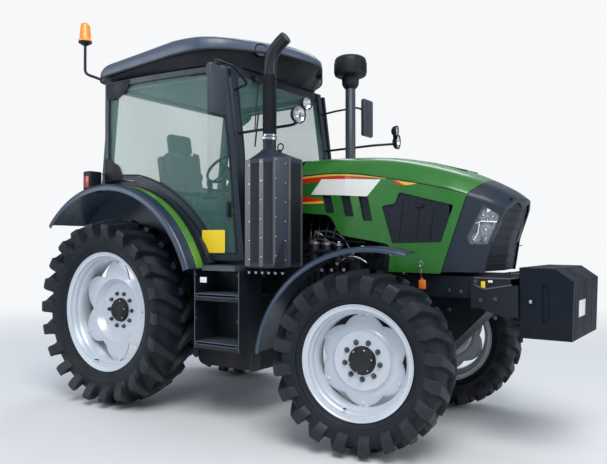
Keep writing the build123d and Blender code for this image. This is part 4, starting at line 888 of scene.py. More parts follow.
def hub_local(size):
    """Hub cap with a domed end."""
    y, r = -size["plate"], size["hub"]
    rise = 46.0
    profile = rounded([(y + 4, 0.5), (y + 4, r + 4), (y - 4, r + 4), (y - 8, r), (y - rise * 0.55, r - 3),
                       (y - rise * 0.72, r - 14), (y - rise, r - 22), (y - rise, 0.5)], 5.0, 4, closed=False)
    return local_turned(profile, 40, closed=False)


def nuts_local(size, across):
    """Wheel nuts round the hub, lobe bolts at the barrel, and small screws in the hub cap: (nuts, bolts)."""
    y = -size["plate"]
    nuts, bolts = Shape(), Shape()
    for k in range(size["nuts"]):
        one = local_parts(bolt((0, y + 1, size["nut_ring"]), (0, -1, 0), across, 20))
        one.add(local_parts(turned([(0, 7), (26, 7), (28, 5)], (0, y, size["nut_ring"]), (0, -1, 0), 12)))
        nuts.add(one.moved(lambda p, m=rotation("y", 360.0 * (k + 0.5) / size["nuts"]): p @ m.T))
    for k in range(6):
        head = local_parts(turned([(0, 13), (7, 12), (11, 7), (12, 1)], (0, -size["lobe"], size["seat"] - 70),
                                  (0, -1, 0), 16))
        bolts.add(head.moved(lambda p, m=rotation("y", 60.0 * k): p @ m.T))
        screw = local_parts(turned([(0, 6), (4, 5.5), (6, 3)], (0, y - 34, size["hub"] - 17), (0, -1, 0), 10))
        bolts.add(screw.moved(lambda p, m=rotation("y", 60.0 * k + 20): p @ m.T))
    return nuts, bolts


class TRACTOR_OT_tyres(bpy.types.Operator):
    """Four lugged tyres over the tyre solids"""

    bl_idname = "tractor.tyres"
    bl_label = "Tyres"

    def execute(self, context):
        sides = context.scene.tractor_sizes.segments
        shapes = {kind: tyre_local(size, sides) for kind, size in TYRES.items()}
        for name, (kind, side, centre, turn) in WHEELS.items():
            carry = wheel_at(side, centre, turn)
            carcass, bars = shapes[kind]
            make(f"tyre_{name}_carcass", carcass.moved(carry), f"wheel_{name}", "tyre_rubber", (f"tyre_{name}",), 50)
            make(f"tyre_{name}_bars", bars.moved(carry), f"wheel_{name}", "tyre_bar", (f"tyre_{name}",), 28)
        return {"FINISHED"}


class TRACTOR_OT_rims(bpy.types.Operator):
    """Four pressed rims with hub caps, nuts and valves over the rim solids"""

    bl_idname = "tractor.rims"
    bl_label = "Rims"

    def execute(self, context):
        sizes = context.scene.tractor_sizes
        for name, (kind, side, centre, turn) in WHEELS.items():
            size, body = RIMS[kind], f"wheel_{name}"
            carry = wheel_at(side, centre, turn)
            nuts, bolts = nuts_local(size, sizes.nut_size * 1000)
            make(f"rim_{name}_disc", rim_local(size, sizes.segments).moved(carry), body, "rim_paint",
                 (f"rim_{name}",), 40)
            make(f"rim_{name}_hub", hub_local(size).moved(carry), body, "castings", (f"rim_{name}",))
            make(f"rim_{name}_nuts", nuts.moved(carry), body, "dark_steel")
            make(f"rim_{name}_bolts", bolts.moved(carry), body, "rim_paint")
            valve = local_parts(tube([(0, -size["half"] + 50, size["seat"] - 34),
                                      (0, -size["half"] + 22, size["seat"] - 42),
                                      (0, -size["half"] + 2, size["seat"] - 44)], 4.5, 10))
            make(f"rim_{name}_valve", valve.moved(lambda p: p @ rotation("y", 196).T).moved(carry), body,
                 "black_plastic")
        return {"FINISHED"}


# ---- hood and nose
def hood_sheet(shrink, stations, low=1100.0, clear=0.0):
    """Closed body of the hood: rounded sections of the side, crease, brow and crown along the stations.

    Each section is a corner polygon whose corners are quadratic arcs; the corners follow cubic curves in x.
    """
    rows = hermite(HOOD_SECTIONS[:, 0], HOOD_SECTIONS[:, 1:], stations)
    grid = []
    for x, (half, crease, top_half, top_z, crown) in zip(stations, rows):
        share = max(0.0, (x - 2880.0) / (3285.0 - 2880.0))
        side, edge, brow = half - shrink + clear, top_half - 0.7 * shrink + clear, top_z - shrink + clear
        corners = np.array([
            (side, low), (side, crease - shrink / 2), (edge, brow), (0.62 * edge, brow + 0.62 * (crown - top_z)),
            (0, crown - shrink + clear), (-0.62 * edge, brow + 0.62 * (crown - top_z)), (-edge, brow),
            (-side, crease - shrink / 2), (-side, low)])
        ring = rounded(corners, [0, 26, 46, 90, 90, 90, 46, 26, 0], 5, closed=False)
        ahead = x - 2.5 * shrink * share**2
        grid.append(np.stack([np.full(len(ring), ahead), ring[:, 0], ring[:, 1]], -1))
    return capped(grid)


def hood_side(x, height, out=0.0):
    """Right-hand surface of the hood at points (ahead, height): the side below the crease, the slant above it."""
    x, height = np.asarray(x, float), np.asarray(height, float)
    rows = hermite(HOOD_SECTIONS[:, 0], HOOD_SECTIONS[:, 1:], x.ravel()).reshape(x.shape + (5,))
    half, crease, edge, brow = rows[..., 0], rows[..., 1], rows[..., 2], rows[..., 3]
    rise = np.clip((height - crease) / (brow - crease), 0, 1)
    return np.stack([x, -(half + (edge - half) * rise + out), height], -1)


def decal(upper, lower, out=0.6, thick=0.8, columns=48):
    """Thin sheet on the hood's side between two polylines (ahead, height): P(i, t) = U(t) + (L(t) - U(t)) v_i."""
    t = np.linspace(0, 1, columns)

    def along(line):
        line = rounded(line, 60.0, 5, closed=False)
        run = np.concatenate([[0], np.cumsum(np.linalg.norm(np.diff(line, axis=0), axis=1))])
        return np.stack([np.interp(t * run[-1], run, line[:, 0]), np.interp(t * run[-1], run, line[:, 1])], -1)

    top, base = along(upper), along(lower)
    v = np.linspace(0, 1, 5)[:, None, None]
    flat = top + (base - top) * v
    front = hood_side(flat[..., 0], flat[..., 1], out + thick)
    back = hood_side(flat[..., 0], flat[..., 1], out - 1.2)
    return Shape().sheet(metres(np.concatenate([front, back[::-1]])), wrap_u=True)


def edge_line(outline, width=5.0, out=1.6):
    """Raised trim along a closed outline on the hood's side."""
    path = rounded(outline, 16.0, 4)
    outer, inner = path, inward(path, width)
    grid = [hood_side(ring[:, 0], ring[:, 1], lift) for ring, lift in
            ((outer, -2), (outer, out), (inner, out), (inner, -2))]
    return Shape().sheet(metres(grid), wrap_u=True, wrap_v=True)


def vent_outline(x, upper, lower):
    run = 0.22 * (upper - lower)
    return np.array([(x, upper), (x + 78, upper - 4), (x + 78 + run, lower), (x + run, lower + 4)], float)


class TRACTOR_OT_hood(bpy.types.Operator):
    """Smooth hood shell with vents, grille openings and side stripes"""

    bl_idname = "tractor.hood"
    bl_label = "Hood"

    def execute(self, context):
        stations = np.unique(np.concatenate([np.linspace(1640, 2880, 42), np.linspace(2880, 3285, 34)]))
        outer = hood_sheet(0, stations)
        inner = hood_sheet(8, stations, 1090.0)
        shell = make("hood_panels", outer, "hood", "green_paint", ("hood_shell",))
        cut(shell, inner)
        cut(shell, prism(rounded(HOOD_OUTLINE, [8, 26, 50, 46, 60, 8, 4, 20, 8, 8], 6), -500, 500), "INTERSECT")
        for vent in VENTS:
            cut(shell, prism(rounded(vent_outline(*vent), 12.0), -500, 500))
        cut(shell, prism(rounded(GRILLE_OUTLINE, 14.0), -500, 500))
        trims = Shape()
        for vent in VENTS:
            trims.add(both_sides(edge_line(vent_outline(*vent), -5.0)))
        trims.add(both_sides(edge_line(GRILLE_OUTLINE, -6.0)))
        make("hood_trims", trims, "hood", "green_paint")
        backs = Shape()
        for vent in VENTS:
            big = inward(vent_outline(*vent), -12.0)
            ring = hood_side(big[:, 0], big[:, 1], -16.0)
            deep = hood_side(big[:, 0], big[:, 1], -26.0)
            backs.add(both_sides(capped([ring, deep])))
        make("hood_vent_backs", backs, "hood", "perforated")
        self.lines()
        self.stripes()
        return {"FINISHED"}

    def lines(self):
        """Crease line above the stripes, and two ridges along the top."""
        crease = Shape()
        arc = [(1660, 1908), (1850, 1912), (2022, 1910), (2200, 1894), (2342, 1864), (2480, 1838), (2609, 1812),
               (2760, 1778), (2880, 1752), (2990, 1716)]
        path = rounded(arc, 120.0, 6, closed=False)
        low = path - (0, 5.0)
        crease.sheet(metres([hood_side(p[:, 0], p[:, 1], lift) for p, lift in
                             ((path, -1), (path, 1.2), (low, 1.2), (low, -1))]), wrap_u=True)
        make("hood_crease_line", both_sides(crease), "hood", "seal")
        bonnet = Shape()
        for y in (-118.0, 118.0):
            ridge = [(1700, y, 2062), (2200, y, 2046), (2600, y * 0.95, 1988), (2900, y * 0.85, 1905)]
            bonnet.add(tube([(x, w, z - 8) for x, w, z in ridge], 5.0, 8, 120.0))
        make("hood_ridges", bonnet, "hood", "green_paint")

    def stripes(self):
        """Yellow over red along the crease to a point, red over yellow at the rear, and the blank plate."""
        yellow = Shape()
        yellow.add(decal([(1660, 1894), (1860, 1902), (2030, 1899), (2230, 1876), (2400, 1846)],
                         [(1660, 1880), (1860, 1888), (2030, 1887), (2230, 1868), (2400, 1842)]))
        yellow.add(decal([(2470, 1829), (2560, 1812), (2640, 1799)], [(2500, 1800), (2575, 1786), (2640, 1797)]))
        yellow.add(decal([(1660, 1700), (1760, 1700), (1878, 1704)], [(1660, 1686), (1760, 1684), (1878, 1684)]))
        red = Shape()
        red.add(decal([(1660, 1878), (1860, 1886), (2030, 1885), (2200, 1871), (2330, 1855)],
                      [(1660, 1836), (1740, 1846), (2030, 1858), (2200, 1858), (2330, 1850)]))
        red.add(decal([(2460, 1831), (2490, 1824), (2522, 1806)], [(2478, 1800), (2500, 1795), (2545, 1792)]))
        red.add(decal([(1660, 1752), (1740, 1738), (1868, 1716)], [(1660, 1702), (1740, 1702), (1868, 1706)]))
        make("stripe_upper_yellow", both_sides(yellow), "hood", "stripe_yellow")
        make("stripe_upper_red", both_sides(red), "hood", "stripe_red")
        plate = decal([(1858, 1868), (2110, 1857), (2366, 1839)], [(1762, 1755), (2000, 1741), (2252, 1722)], 1.6, 1.2)
        make("blank_plate", both_sides(plate), "hood", "plate_white")


def nose_front(height):
    """Distance ahead of the nose's front face at a height."""
    return np.interp(height, [1188, 1418, 1692, 2120], [3142, 3182, 3290, 3290])


def nose_wedge(side):
    """What lies ahead of the swept half of the nose: x > front(z) - NOSE_SWEEP |y|, on one side."""
    heights = np.array([1100.0, 1188, 1300, 1418, 1550, 1692, 1900, 2150])
    plan = np.array([(0, 0), (-420 * NOSE_SWEEP, 420), (300, 420), (300, 0)], float)[::side]
    return capped([np.column_stack([nose_front(z) + plan[:, 0], side * plan[:, 1], np.full(4, z)])
                   for z in heights])


class TRACTOR_OT_nose(bpy.types.Operator):
    """Dark nose with its front grille, lamp pockets and headlamps"""

    bl_idname = "tractor.nose"
    bl_label = "Nose"

    def execute(self, context):
        stations = np.unique(np.concatenate([np.linspace(2700, 2880, 7), np.linspace(2880, 3285, 46)]))
        shell = make("nose_panels", hood_sheet(0, stations), "hood", "dark_panel", ("nose",))
        cut(shell, hood_sheet(9, stations, 1090.0))
        outline = [(x + 1.5, z) for x, z in SPLIT_LINE[::-1]] + [(2822, 1188)] + list(FRONT_LINE)
        cut(shell, prism(rounded(outline, [4, 30, 30, 4, 10, 20, 60, 30, 4]), -500, 500), "INTERSECT")
        lamp = rounded(LAMP_OUTLINE, 22.0)
        pocket = prism(inward(lamp, -3.0), -420, -225).add(prism(inward(lamp, -3.0), 225, 420))
        cut(shell, pocket)
        for side in (1, -1):
            cut(shell, nose_wedge(side))
        self.front(context)
        self.lamps(lamp)
        return {"FINISHED"}

    def front(self, context):
        """Perforated front grille, its bars and seams; the ledge below comes with the front weights."""
        heights = np.linspace(1192, 1684, 24)
        ahead = nose_front(heights) - 14.0
        half = hermite(HOOD_SECTIONS[:, 0], HOOD_SECTIONS[:, 1:], ahead)[:, 0] - 10.0
        across = np.linspace(-1, 1, 33)
        faces = []
        for depth in (0.0, 10.0):
            faces.append(np.stack(np.broadcast_arrays(
                (ahead - depth)[:, None] - NOSE_SWEEP * half[:, None] * np.abs(across), half[:, None] * across,
                heights[:, None]), -1))
        grille = Shape().sheet(metres(np.concatenate([faces[0], faces[1][::-1]])), wrap_u=True)
        make("nose_grille", grille, "hood", "perforated")
        bars = Shape()
        for height in (1240, 1300, 1360, 1420, 1480, 1540, 1600):
            x = float(nose_front(height)) - 16.0
            wide = float(hermite(HOOD_SECTIONS[:, 0], HOOD_SECTIONS[:, 1:], np.array([x]))[0, 0]) - 16.0
            route = [(x + 2 - NOSE_SWEEP * wide * abs(s), wide * s, height) for s in np.linspace(-1, 1, 9)]
            bars.add(tube(route, 5.0, 8))
        make("nose_grille_bars", bars, "hood", "black_plastic")
        seam = Shape()
        line = np.array([(2862, 1352), (3020, 1352), (3100, 1358), (3160, 1366)], float)
        for sign in (1, -1):
            rows = [hood_side(line[:, 0], line[:, 1] + shift, lift) * (1, sign, 1)
                    for shift, lift in ((3, -1), (3, 1.0), (-3, 1.0), (-3, -1))]
            seam.add(Shape().sheet(metres(rows), wrap_u=True))
        make("nose_seams", seam, "hood", "seal")

    def lamps(self, lamp):
        """Bezel, reflector bowls, dividers and a clear pane on each side."""
        small = inward(lamp, 4.0)
        pane, bezel, bowls, bars = Shape(), Shape(), Shape(), Shape()
        grid = []
        centre = small.mean(0)
        for share in (0.02, 0.35, 0.7, 0.93, 1.0):
            ring = centre + (small - centre) * share
            grid.append(hood_side(ring[:, 0], ring[:, 1], -1.5 - 3.0 * (share == 1.0)))
        back = [hood_side(ring[:, 0], ring[:, 1], -8.0) for ring in (small, centre + (small - centre) * 0.02)]
        pane.sheet(metres(grid + back), wrap_v=True, caps=True)
        outer, inner = inward(lamp, -2.0), inward(lamp, 8.0)
        bezel.sheet(metres([hood_side(r[:, 0], r[:, 1], lift) for r, lift in
                            ((outer, 0.5), (inner, -4), (inner, -70), (outer, -70))]), wrap_u=True, wrap_v=True)
        for (x, z), size in (((3150, 1560), 38), ((3092, 1568), 30), ((3108, 1470), 44), ((3050, 1420), 26),
                             ((3108, 1412), 20)):
            spot = hood_side(np.array([x]), np.array([z]), -16.0)[0]
            normal = (0.42, -0.86, -0.02)
            bowls.add(turned([(-size * 0.9, size * 0.16), (-size * 0.8, size * 0.4), (-size * 0.45, size * 0.78),
                              (0, size), (3, size), (3, size + 3), (-4, size + 3), (-size * 0.95, size * 0.3)],
                             spot, normal, 28, closed=True))
            bars.add(turned([(-size * 0.75, size * 0.02), (-size * 0.75, size * 0.2), (-size * 0.2, size * 0.22),
                             (-size * 0.1, size * 0.02)], spot, normal, 16))
        for line in ([(3010, 1500), (3080, 1528), (3172, 1522)], [(3030, 1400), (3060, 1450), (3070, 1520)]):
            route = [hood_side(np.array([x]), np.array([z]), -14.0)[0] for x, z in line]
            bars.add(tube(route, 5.0, 8))
        make("headlamp_panes", both_sides(pane), "hood", "lamp_glass", ("headlamps",))
        make("headlamp_bezels", both_sides(bezel), "hood", "grey_pipe")
        make("headlamp_bowls", both_sides(bowls), "hood", "chrome")
        make("headlamp_fittings", both_sides(bars), "hood", "lens")


class TRACTOR_OT_grilles(bpy.types.Operator):
    """Ribs and a latch on the side grilles"""

    bl_idname = "tractor.grilles"
    bl_label = "Side grilles"

    def execute(self, context):
        ribs_shape, latch = Shape(), Shape()
        for x in (2560, 2690, 2790):
            line = np.array([(x - 26, 1690 - (x - 2560) * 0.25), (x - 60, 1400)], float)
            rows = [hood_side(line[:, 0] + shift, line[:, 1], lift) for shift, lift in
                    ((-4, -9), (-3, -4.5), (3, -4.5), (4, -9))]
            ribs_shape.add(Shape().sheet(metres(rows), wrap_u=True, wrap_v=False))
        spot = hood_side(np.array([2660]), np.array([1640]), -3.0)[0]
        latch.add(rounded_box(spot, (30, 6, 12), 5)).add(tube([spot + (14, -7, 2), spot + (34, -9, 10)], 5.0, 10))
        make("grille_ribs", both_sides(ribs_shape), "hood", "black_plastic")
        make("grille_latch", both_sides(latch), "hood", "black_plastic")
        return {"FINISHED"}


# ---- cab
ROOF_EDGE = ((-240, 802), (-180, 862), (930, 862), (1070, 785), (1160, 690), (1374, 350), (1430, 270), (1480, 150))


def roof_plan(shrink, steps=8):
    """Closed plan of the roof, with rounded corners, drawn in by a distance."""
    right = [(x, -y) for x, y in ROOF_EDGE]
    plan = np.array(right + [(1500, 0)] + [(x, -y) for x, y in right[::-1]], float)
    radii = [60, 60, 220, 120, 160, 90, 60, 60, 60, 60, 60, 90, 160, 120, 220, 60, 60]
    return rounded(inward(plan, shrink) if shrink else plan, radii, steps)


def roof_under(x):
    """Height of the fascia's lower edge along the cab."""
    return np.interp(x, [-240, -150, -20, 465, 916, 1160, 1400, 1500], [2812, 2835, 2858, 2886, 2900, 2916, 2922, 2898])


def roof_top(x):
    """Height of the roof's upper skin along the cab."""
    return np.interp(x, [-240, -200, -80, 90, 300, 535, 800, 1165, 1400, 1500],
                     [2882, 2905, 2958, 3002, 3014, 3020, 3022, 3014, 2996, 2978])


class TRACTOR_OT_roof(bpy.types.Operator):
    """Moulded cab roof with a raised brow, gutter and lamps"""

    bl_idname = "tractor.roof"
    bl_label = "Cab roof"

    def execute(self, context):
        # Rings from the lower lip over the shoulder to the crown: share of the fascia's height, and inset.
        rings = ((0.06, 34), (0.0, 26), (0.0, 8), (0.03, 2), (0.10, 0), (0.45, 1), (0.72, 4), (0.86, 10), (0.95, 22),
                 (1.0, 42), (1.0, 90), (1.0, 180), (1.0, 330), (1.0, 520))
        plan, centre = roof_plan(0), np.array([600.0, 0.0])
        grid = []
        for share, inset in rings:
            flat = centre + (plan - centre) * (1.0 - inset / np.array([880.0, 870.0]))
            low = roof_under(flat[:, 0])
            dome = 16.0 * (1 - (flat[:, 1] / 862.0) ** 2) * (share == 1.0)
            grid.append(np.column_stack([flat, low + (roof_top(flat[:, 0]) - low) * share + dome]))
        shell = capped(grid)
        # The roof shell wears the lighter, bluer copy of the dark paint: painted sky reflection.
        make("roof_shell", shell, "chassis", "roof_paint_sky_lit", ("cab_roof",), 40)
        # Dark underside from the cab's top frame out to the fascia.
        under = []
        for share, stretch in ((0.0, 0.6), (0.0, 0.90), (0.25, 0.915), (0.8, 0.955), (1.04, 0.962)):
            flat = centre + (plan - centre) * stretch
            flat[:, 0] = np.minimum(flat[:, 0], 1196 + (flat[:, 0] - 1196) * share)
            under.append(np.column_stack([flat, 2800.5 + (roof_under(flat[:, 0]) + 4 - 2800.5) * share]))
        make("roof_underside", capped(under), "chassis", "black_plastic",
             ("cab_roof",), 40)
        lip = Shape()
        normal = plan - inward(plan, 1.0)
        rows = [(0.5, -5), (2.5, -3), (2.5, 8), (0.5, 10), (-8, 10), (-8, -5)]
        lip.sheet(metres([np.column_stack([plan + normal * out, roof_under(plan[:, 0]) + up]) for out, up in rows]),
                  wrap_u=True, wrap_v=True)
        make("roof_lip", lip, "chassis", "seal")
        self.lamps()
        return {"FINISHED"}

    def lamps(self):
        """Round lamps let into the brow."""
        bezels, bowls, lenses = Shape(), Shape(), Shape()
        for y in (-440.0, 440.0):
            side = -1 if y < 0 else 1
            direction = np.array([0.86, side * 0.5, -0.02])
            centre = np.array([1292.0, y, 2940.0])
            bezels.add(turned([(-20, 56), (16, 56), (22, 52), (22, 46), (-20, 46)], centre, direction, 36, closed=True))
            bowls.add(turned([(-18, 4), (-16, 20), (-8, 34), (6, 44), (12, 46), (-20, 46.2)], centre, direction, 32))
            lenses.add(turned([(12, 46), (16, 36), (19, 18), (20, 1), (10, 1), (9, 45)], centre, direction, 32))
        make("roof_lamp_bezels", bezels, "chassis", "black_plastic")
        make("roof_lamp_bowls", bowls, "chassis", "chrome")
        make("roof_lamp_lenses", lenses, "chassis", "lamp_glass")


class TRACTOR_OT_cab(bpy.types.Operator):
    """Seals, hinges, handles, wipers, signs and inner fittings of the cab"""

    bl_idname = "tractor.cab"
    bl_label = "Cab fittings"

    def execute(self, context):
        for side, body in ((-1, "door_right"), (1, "door_left")):
            self.door(side, body)
        self.pillars()
        self.inside()
        return {"FINISHED"}

    @staticmethod
    def door_skin(x, out=0.0):
        """Distance from the middle of the door's outer face at a distance ahead."""
        x = np.asarray(x, float)
        t = (x + 300.0) / 1720.0
        return 838.0 - 162.0 * t + 4 * 48.0 * t * (1 - t) + out

    def door(self, side, body):
        """Rubber seal round the pane, corner plates, handle, hinges and a blank yellow sign."""
        sweep = np.radians(np.linspace(78.0, 24.5, 24))
        arc = np.stack([ARCH[0] + 1152 * np.cos(sweep), ARCH[1] + 1152 * np.sin(sweep)], -1)
        edge = np.array([(-86, 2741), (1120, 2741), (1206, 2150), (1278, 1290)] + arc[::-1].tolist() + [(-86, 1968)])
        edge = rounded(edge, [26, 26, 60, 26] + [4] * len(arc) + [26], 4)
        small = inward(edge, 13.0)
        seal = Shape()
        seal.sheet(metres([np.stack([r[:, 0], side * self.door_skin(r[:, 0], lift), r[:, 1]], -1) for r, lift in
                           ((edge, -4), (edge, 2.5), (small, 3.5), (small, -4))]), wrap_u=True, wrap_v=True)
        make(f"{body}_seal", seal, body, "seal")
        plates = Shape()
        for outline in (((-118, 2782), (190, 2782), (150, 2690), (60, 2640), (-104, 2630)),
                        ((-126, 2120), (-100, 2125), (60, 2046), (112, 1938), (60, 1922), (-126, 1930))):
            flat = rounded(outline, 22.0, 4)
            tight = inward(flat, 4.0)
            plates.add(capped([
                np.stack([r[:, 0], side * self.door_skin(r[:, 0], lift), r[:, 1]], -1) for r, lift in
                ((flat, -3), (flat, 2.5), (tight, 4))]))
        make(f"{body}_plates", plates, body, "black_plastic")
        handle = Shape()
        y = side * float(self.door_skin(1195.0))
        handle.add(rounded_box((1212, y + side * 6, 1640), (15, 9, 60), 6))
        handle.add(rounded_box((1212, y + side * 22, 1655), (10, 5, 52), 4))
        handle.add(turned([(0, 13), (12, 13), (14, 10)], (1212, y + side * 12, 1602), (0, side, 0), 20))
        make(f"{body}_handle", handle, body, "black_plastic")
        grab = [(1186, side * (float(self.door_skin(1186)) - 40), z) for z in (1700, 1760, 2080, 2140)]
        grab = [grab[0], (grab[1][0], grab[1][1] - side * 45, grab[1][2]), (grab[2][0] - 12, grab[2][1] - side * 45,
                grab[2][2]), (grab[3][0] - 16, grab[3][1], grab[3][2])]
        make(f"{body}_grab", tube(grab, 9.0, 12, 34.0), body, "cab_trim")
        if side < 0:
            sign = rounded([(962, 1305), (1172, 1305), (1172, 1485), (962, 1485)], 8.0)
            rows = [np.stack([r[:, 0], -self.door_skin(r[:, 0], lift) - 4.0, r[:, 1]], -1) for r, lift in
                    ((sign, 0.5), (sign, 2.0))]
            make("door_right_sign", capped(rows), body, "sign_yellow")

    def pillars(self):
        """Screen seals and wiper of the front pillars, and the green bands on the rear fenders."""
        seal = both_sides(tube([(1318, -604, 1300), (1250, -596, 2150), (1165, -590, 2785)], 7.0, 8))
        make("screen_seals", seal, "chassis", "seal")
        wiper = Shape()
        wiper.add(tube([(1190, -330, 2715), (1222, -400, 2520), (1250, -455, 2300)], 5.0, 8))
        wiper.add(tube([(1232, -380, 2480), (1262, -470, 2160)], 6.5, 8))
        wiper.add(rounded_box((1184, -330, 2735), (26, 60, 26), 8))
        make("wiper", wiper, "chassis", "black_plastic")
        strip = Shape()
        arc = np.radians(np.linspace(20.4, 99.5, 40))
        for low, high, inner, outer in ((1054.3, 1056.5, 818.0, 900.0),):
            rows = []
            for r, y in ((low, inner), (high, inner + 3), (high + 1.5, (inner + outer) / 2), (high, outer - 3),
                         (low, outer)):
                rows.append(np.stack([ARCH[0] + r * np.cos(arc), np.full(40, -y), ARCH[1] + r * np.sin(arc)], -1))
            strip.sheet(metres(np.array(rows).transpose(1, 0, 2)), wrap_v=True, caps=True)
        make("fender_stripes", both_sides(strip), "chassis", "bright_green")

    def inside(self):
        """Dashboard, console, levers, pedals, head lining and seat frame."""
        dash = Shape()
        dash.add(rounded_box((1010, 0, 1990), (150, 175, 60), 40, turn=rotation("y", 12)))
        dash.add(rounded_box((830, 0, 1985), (60, 135, 66), 24, turn=rotation("y", -28)))
        dash.add(rounded_box((620, -395, 1690), (230, 95, 60), 34)).add(rounded_box((300, -440, 1640),
            (330, 70, 150), 40))
        dash.add(rounded_box((250, 440, 1640), (330, 70, 150), 40))
        dash.add(rounded_box((500, 0, 2772), (560, 560, 20), 18))
        make("cab_trim_parts", dash, "chassis", "cab_trim")
        black = Shape()
        for x, y, top, lean in ((560, -400, 1950, 30), (640, -370, 1900, 20), (700, -420, 1870, 26),
                                (470, -430, 1880, -10),
                                (480, 320, 1880, 20)):
            black.add(tube([(x, y, 1640), (x + lean, y, top - 60), (x + lean * 1.3, y, top - 20)], 6.0, 10))
            black.add(rounded_box((x + lean * 1.4, y, top), (17, 17, 30), 14))
        for y in (-150, -230, 210):
            black.add(tube([(1100, y, 1560), (1040, y, 1400), (1000, y, 1330)], 9.0, 10, 40.0))
            black.add(rounded_box((985, y, 1318), (45, 34, 7), 5, turn=rotation("y", -35)))
        black.add(rounded_box((1010, 0, 1990), (60, 120, 4), 3, turn=rotation("y", 12)))
        black.add(tube([(290, -150, 1400), (290, -150, 1660)], 40.0, 16)).add(rounded_box((290, 0, 1560),
            (210, 190, 60), 30))
        make("cab_controls", black, "chassis", "black_plastic")
        screen = Shape()
        screen.add(rounded_box((700, -560, 2050), (9, 60, 80), 7, turn=rotation("z", 25)))
        screen.add(rounded_box((1060, -520, 2390), (26, 26, 60), 10))
        screen.add(tube([(1120, -560, 2380), (1060, -520, 2380)], 8.0, 8))
        make("cab_display", screen, "chassis", "black_plastic")
        spot = turned([(0, 1), (0, 20), (5, 20), (7, 15)], (1190, -640, 1640), (0.2, -1, 0), 20)
        make("cab_green_knob", spot, "chassis", "green_light")


def seat_solids():
    """Cushion, back rest and head rest: P = rounded boxes leaned with the frame."""
    cushion = rounded_box((305, 0, 1778), (232, 240, 54), 44, 6)
    lean = rotation("y", -10)
    back = rounded_box((6, 0, 2020), (56, 226, 236), 48, 6, lean)
    head = rounded_box((-62, 0, 2338), (44, 146, 96), 40, 6, lean)
    return cushion, back, head


class TRACTOR_OT_seat(bpy.types.Operator):
    """Stuffed seat pads with piping, over the seat solid"""

    bl_idname = "tractor.seat"
    bl_label = "Seat"

    def execute(self, context):
        rise = context.scene.tractor_sizes.pad_rise
        names = ("seat_cushion", "seat_back", "seat_head")
        for name, shape in zip(names, seat_solids()):
            thing = make(name, shape, "chassis", "seat_cloth", ("seat",), 60)
            self.swell(thing, rise)
        piping = Shape()
        for z in (1762, 1796):
            ring = rounded([(80, -238), (530, -238), (530, 238), (80, 238)], 60.0, 6)
            piping.add(tube([(x, y, z) for x, y in ring] + [(ring[0][0], ring[0][1], z)], 3.5, 6))
        make("seat_piping", piping, "chassis", "seal")
        bolster = both_sides(rounded_box((-40, -235, 2010), (40, 24, 190), 20, turn=rotation("y", -10)))
        bolster.add(rounded_box((-100, 0, 2000), (14, 190, 220), 10, turn=rotation("y", -10)))
        make("seat_shell", bolster, "chassis", "black_plastic")
        return {"FINISHED"}

    def swell(self, thing, rise):
        """Cloth under inner pressure, started from a fine even mesh and capped to the given movement."""
        context = bpy.context
        remesh = thing.modifiers.new("remesh", "REMESH")
        remesh.mode, remesh.voxel_size = "VOXEL", 0.010
        context.view_layer.update()
        fine = bpy.data.meshes.new_from_object(thing.evaluated_get(context.evaluated_depsgraph_get()))
        thing.modifiers.clear()
        thing.data = fine
        start = np.empty(len(fine.vertices) * 3, np.float32)
        fine.vertices.foreach_get("co", start)
        cloth = thing.modifiers.new("cloth", "CLOTH")
        cloth.settings.use_pressure = True
        cloth.settings.uniform_pressure_force = 4.0
        cloth.settings.tension_stiffness = cloth.settings.compression_stiffness = 30.0
        cloth.settings.effector_weights.gravity = 0.0
        cloth.point_cache.frame_start, cloth.point_cache.frame_end = 1, 12
        for frame in range(1, 13):
            context.scene.frame_set(frame)
        moved = np.empty_like(start)
        result = bpy.data.meshes.new_from_object(thing.evaluated_get(context.evaluated_depsgraph_get()))
        result.vertices.foreach_get("co", moved)
        bpy.data.meshes.remove(result)
        thing.modifiers.clear()
        context.scene.frame_set(1)
        shift = (moved - start).reshape(-1, 3)
        length = np.linalg.norm(shift, axis=1)[:, None]
        shift *= np.minimum(1.0, rise / np.maximum(length, 1e-9))
        fine.vertices.foreach_set("co", (start.reshape(-1, 3) + shift).ravel())
        fine.polygons.foreach_set("use_smooth", np.ones(len(fine.polygons), bool))
        fine.update()


# ---- fenders
def band(centre, sections, low, high, side, steps=56):
    """Curved sheet metal: section rows (radius, distance from the middle) swept about a centre between two angles.

    P(a, k) = (c_x + r_k cos a, s y_k, c_z + r_k sin a), the section closed round k.
    """
    angle = np.radians(np.linspace(low, high, steps))
    rows = np.asarray(sections, float)
    grid = np.stack(np.broadcast_arrays(
        centre[0] + rows[:, 0] * np.cos(angle)[:, None], side * rows[:, 1],
        centre[1] + rows[:, 0] * np.sin(angle)[:, None]), -1)
    return capped(grid)


def fender_section(radius, inner, outer, lip, wall=6.0, curl=20.0):
    """Closed section of a fender: a crown between two turned-down edges with a rounded outer shoulder."""
    t = np.radians(np.linspace(90, 0, 6))
    out = [(radius + wall - curl + curl * math.sin(a), outer - curl + curl * math.cos(a)) for a in t]
    back = [(radius - curl + (curl - wall) * math.sin(a) + wall,
             outer - curl + (curl - wall) * math.cos(a)) for a in t[::-1]]
    return np.array([(radius + wall, inner)] + out + [(radius - lip, outer), (radius - lip, outer - wall)]
                    + back + [(radius, inner)])


